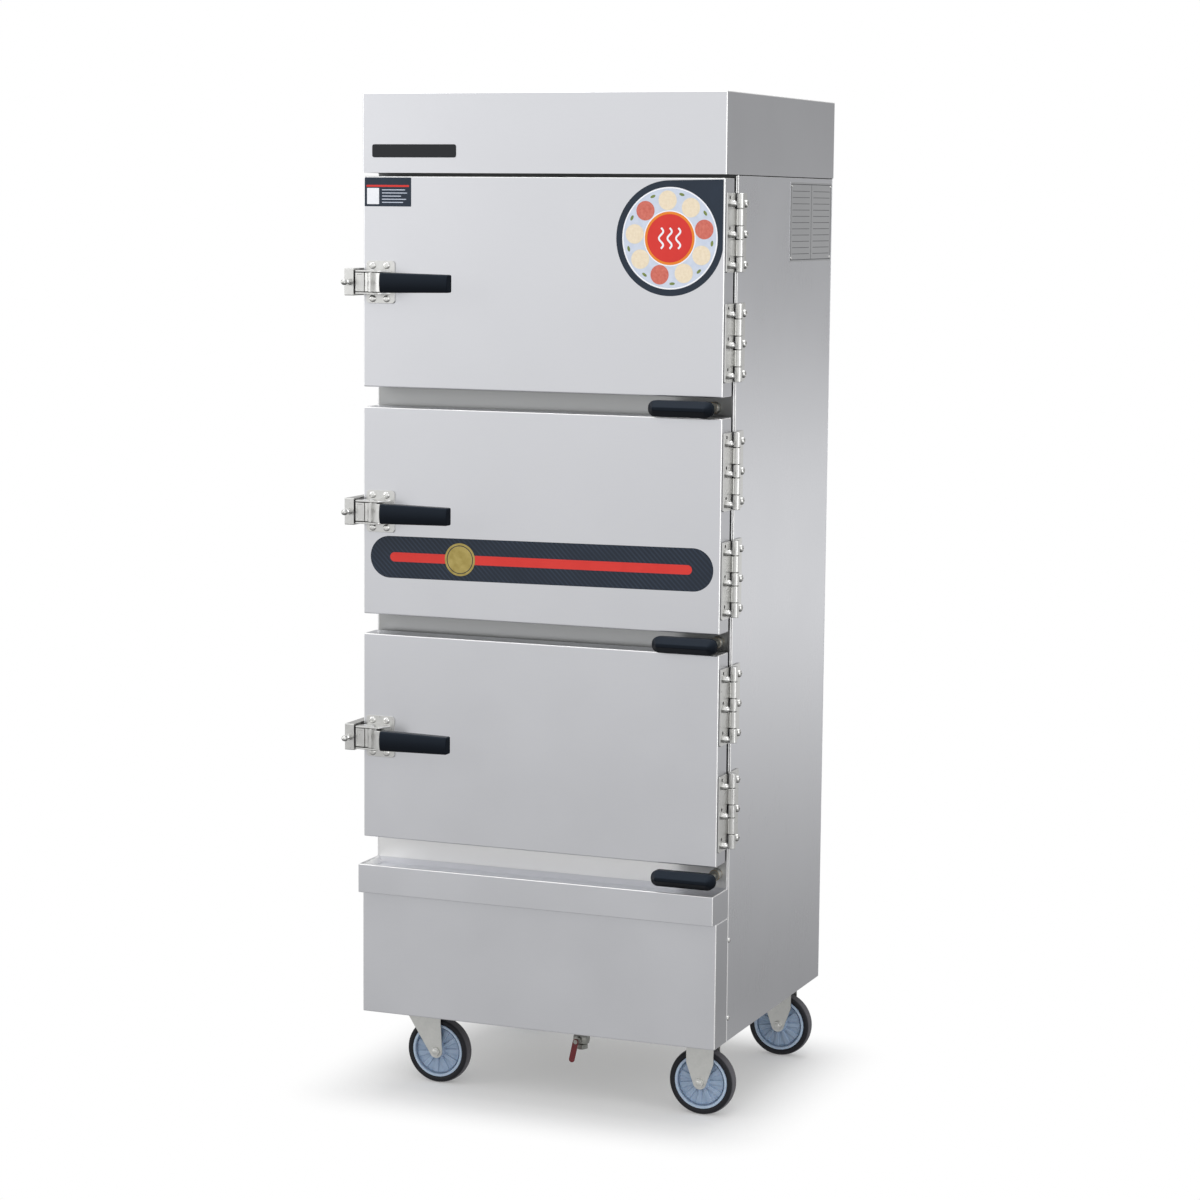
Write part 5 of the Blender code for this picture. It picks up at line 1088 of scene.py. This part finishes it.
# Long band film: a navy capsule with a fine slanting line pattern, one red stripe and a gold disc
BAND_LEFT, BAND_RIGHT, BAND_HEIGHT, BAND_LEFT_Z, BAND_RIGHT_Z = mm(-330, 339, 77, 1010.5, 1016.5)
STRIPE_HEIGHT, STRIPE_MARGIN, GOLD_RADIUS, GOLD_X = mm(17, 40, 30, -150)
GOLD_RING_OUTER, GOLD_RING_INNER = GOLD_RADIUS - 4 * MM, GOLD_RADIUS - 5.4 * MM
hatched, tree, shader, spot = material("navy_hatched_vinyl",
                                       {"IOR": 1.46, "Specular IOR Level": 0.4})
slant = add(tree, "Mapping", {"Vector": spot, "Rotation": (0, math.radians(45), 0)})
lines = add(tree, "TexWave", {"Vector": slant, "Scale": 1 / (22 * MM), "Distortion": 0.0}, wave_type="BANDS",
            bands_direction="X").outputs["Fac"]
cloud = add(tree, "TexNoise", {"Vector": spot, "Scale": 1 / (60 * MM)})
lines = add(tree, "MapRange", {"Value": lines, "From Min": 0.55, "From Max": 0.75})
share = add(tree, "Math", {0: lines, 1: cloud}, operation="MULTIPLY")
tone = add(tree, "Mix", {0: share, 6: "#18212E", 7: "#2D3A4B"}, data_type="RGBA")
rough = add(tree, "MapRange", {"Value": cloud, "To Min": 0.3, "To Max": 0.5})
wire(tree, shader, {"Base Color": tone, "Roughness": rough})


def band_level(place):
    """The height of the band's middle, which slopes a little."""
    return BAND_LEFT_Z + (BAND_RIGHT_Z - BAND_LEFT_Z) * (place - BAND_LEFT) / (BAND_RIGHT - BAND_LEFT)


def capsule(left, right, height):
    """A long capsule along the band's slope."""
    radius = height / 2
    return (arc_points((left + radius, band_level(left)), radius, 90, 270, 24)
            + arc_points((right - radius, band_level(right)), radius, 270, 450, 24))


gold_ink = printed_film("gold_foil_vinyl", "#8F7C3A", "#CDBB78", 12 * MM, metallic=0.8)
gold_place = (GOLD_X, band_level(GOLD_X))
for name, shape, ink in (
        ("ground", film(capsule(BAND_LEFT, BAND_RIGHT, BAND_HEIGHT), 0), hatched),
        ("stripe", film(capsule(BAND_LEFT + STRIPE_MARGIN, BAND_RIGHT - STRIPE_MARGIN, STRIPE_HEIGHT), 1), red_ink),
        ("gold_disc", film(disc(gold_place, GOLD_RADIUS), 2), gold_ink),
        ("disc_ring", film_ring(gold_place, GOLD_RING_OUTER, GOLD_RING_INNER, 3), navy)):
    piece(f"band_film_{name}", [shape], "door_2", ink)

# Blank plate on the right side: etched satin aluminium with a dark line round it and empty ruled rows,
# held by a small rivet at each corner.
ETCHED_FRONT, ETCHED_BACK, ETCHED_LOW, ETCHED_HIGH, ETCHED_SHEET = mm(70, 314, 1552.5, 1698.5, 0.6)
INK_INSET, INK_WEIGHT, INK_RISE, RIVET_INSET = mm(3, 1.6, 0.08, 7)
ROW_COUNT, (ROW_START, ROW_PITCH, ROW_WEIGHT, ROW_MARGIN) = 11, mm(14, 11.5, 1.1, 12)
etched = brushed_stainless("etched_satin_aluminium", "#C2C3C5", "#B9BABC", Y, 0.34)
etch_ink = printed_film("dark_etch_ink", "#3E3F42", "#55565A", 10 * MM)
plate_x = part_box("side_panel_right")[1].x
plate_face = plate_x + ETCHED_SHEET
corners = rounded_outline((ETCHED_FRONT, ETCHED_LOW), (ETCHED_BACK, ETCHED_HIGH), 2 * MM)
piece("side_blank_plate", [prism(corners, X, plate_x, plate_face, 0.2 * MM)], "cabinet", etched)
left, right = ETCHED_FRONT + INK_INSET, ETCHED_BACK - INK_INSET
low, high = ETCHED_LOW + INK_INSET, ETCHED_HIGH - INK_INSET
divider = (ETCHED_FRONT + ETCHED_BACK) / 2
bars = [(left, start, right, start + INK_WEIGHT) for start in (low, high - INK_WEIGHT)]
bars += [(start, low, start + INK_WEIGHT, high) for start in (left, right - INK_WEIGHT, divider)]
for row in range(ROW_COUNT):
    base = ETCHED_LOW + ROW_START + row * ROW_PITCH
    bars += [(ETCHED_FRONT + ROW_MARGIN, base, ETCHED_FRONT + 112 * MM, base + ROW_WEIGHT),
             (ETCHED_FRONT + 134 * MM, base, ETCHED_BACK - ROW_MARGIN, base + ROW_WEIGHT)]
inked = [cube((plate_face, start, low), (plate_face + INK_RISE, end, high)) for start, low, end, high in bars]
piece("side_plate_ruled_lines", inked, "cabinet", etch_ink)
rivet = [mm(*spot) for spot in ((0, 0), (2.6, 0), (2.4, 0.7), (1.6, 1.2), (0, 1.4))]
rivets = [turned(rivet, (plate_face, y, z), X, 16) for y in (ETCHED_FRONT + RIVET_INSET, ETCHED_BACK - RIVET_INSET)
          for z in (ETCHED_LOW + RIVET_INSET, ETCHED_HIGH - RIVET_INSET)]
piece("side_plate_rivets", rivets, "cabinet", screw_steel)
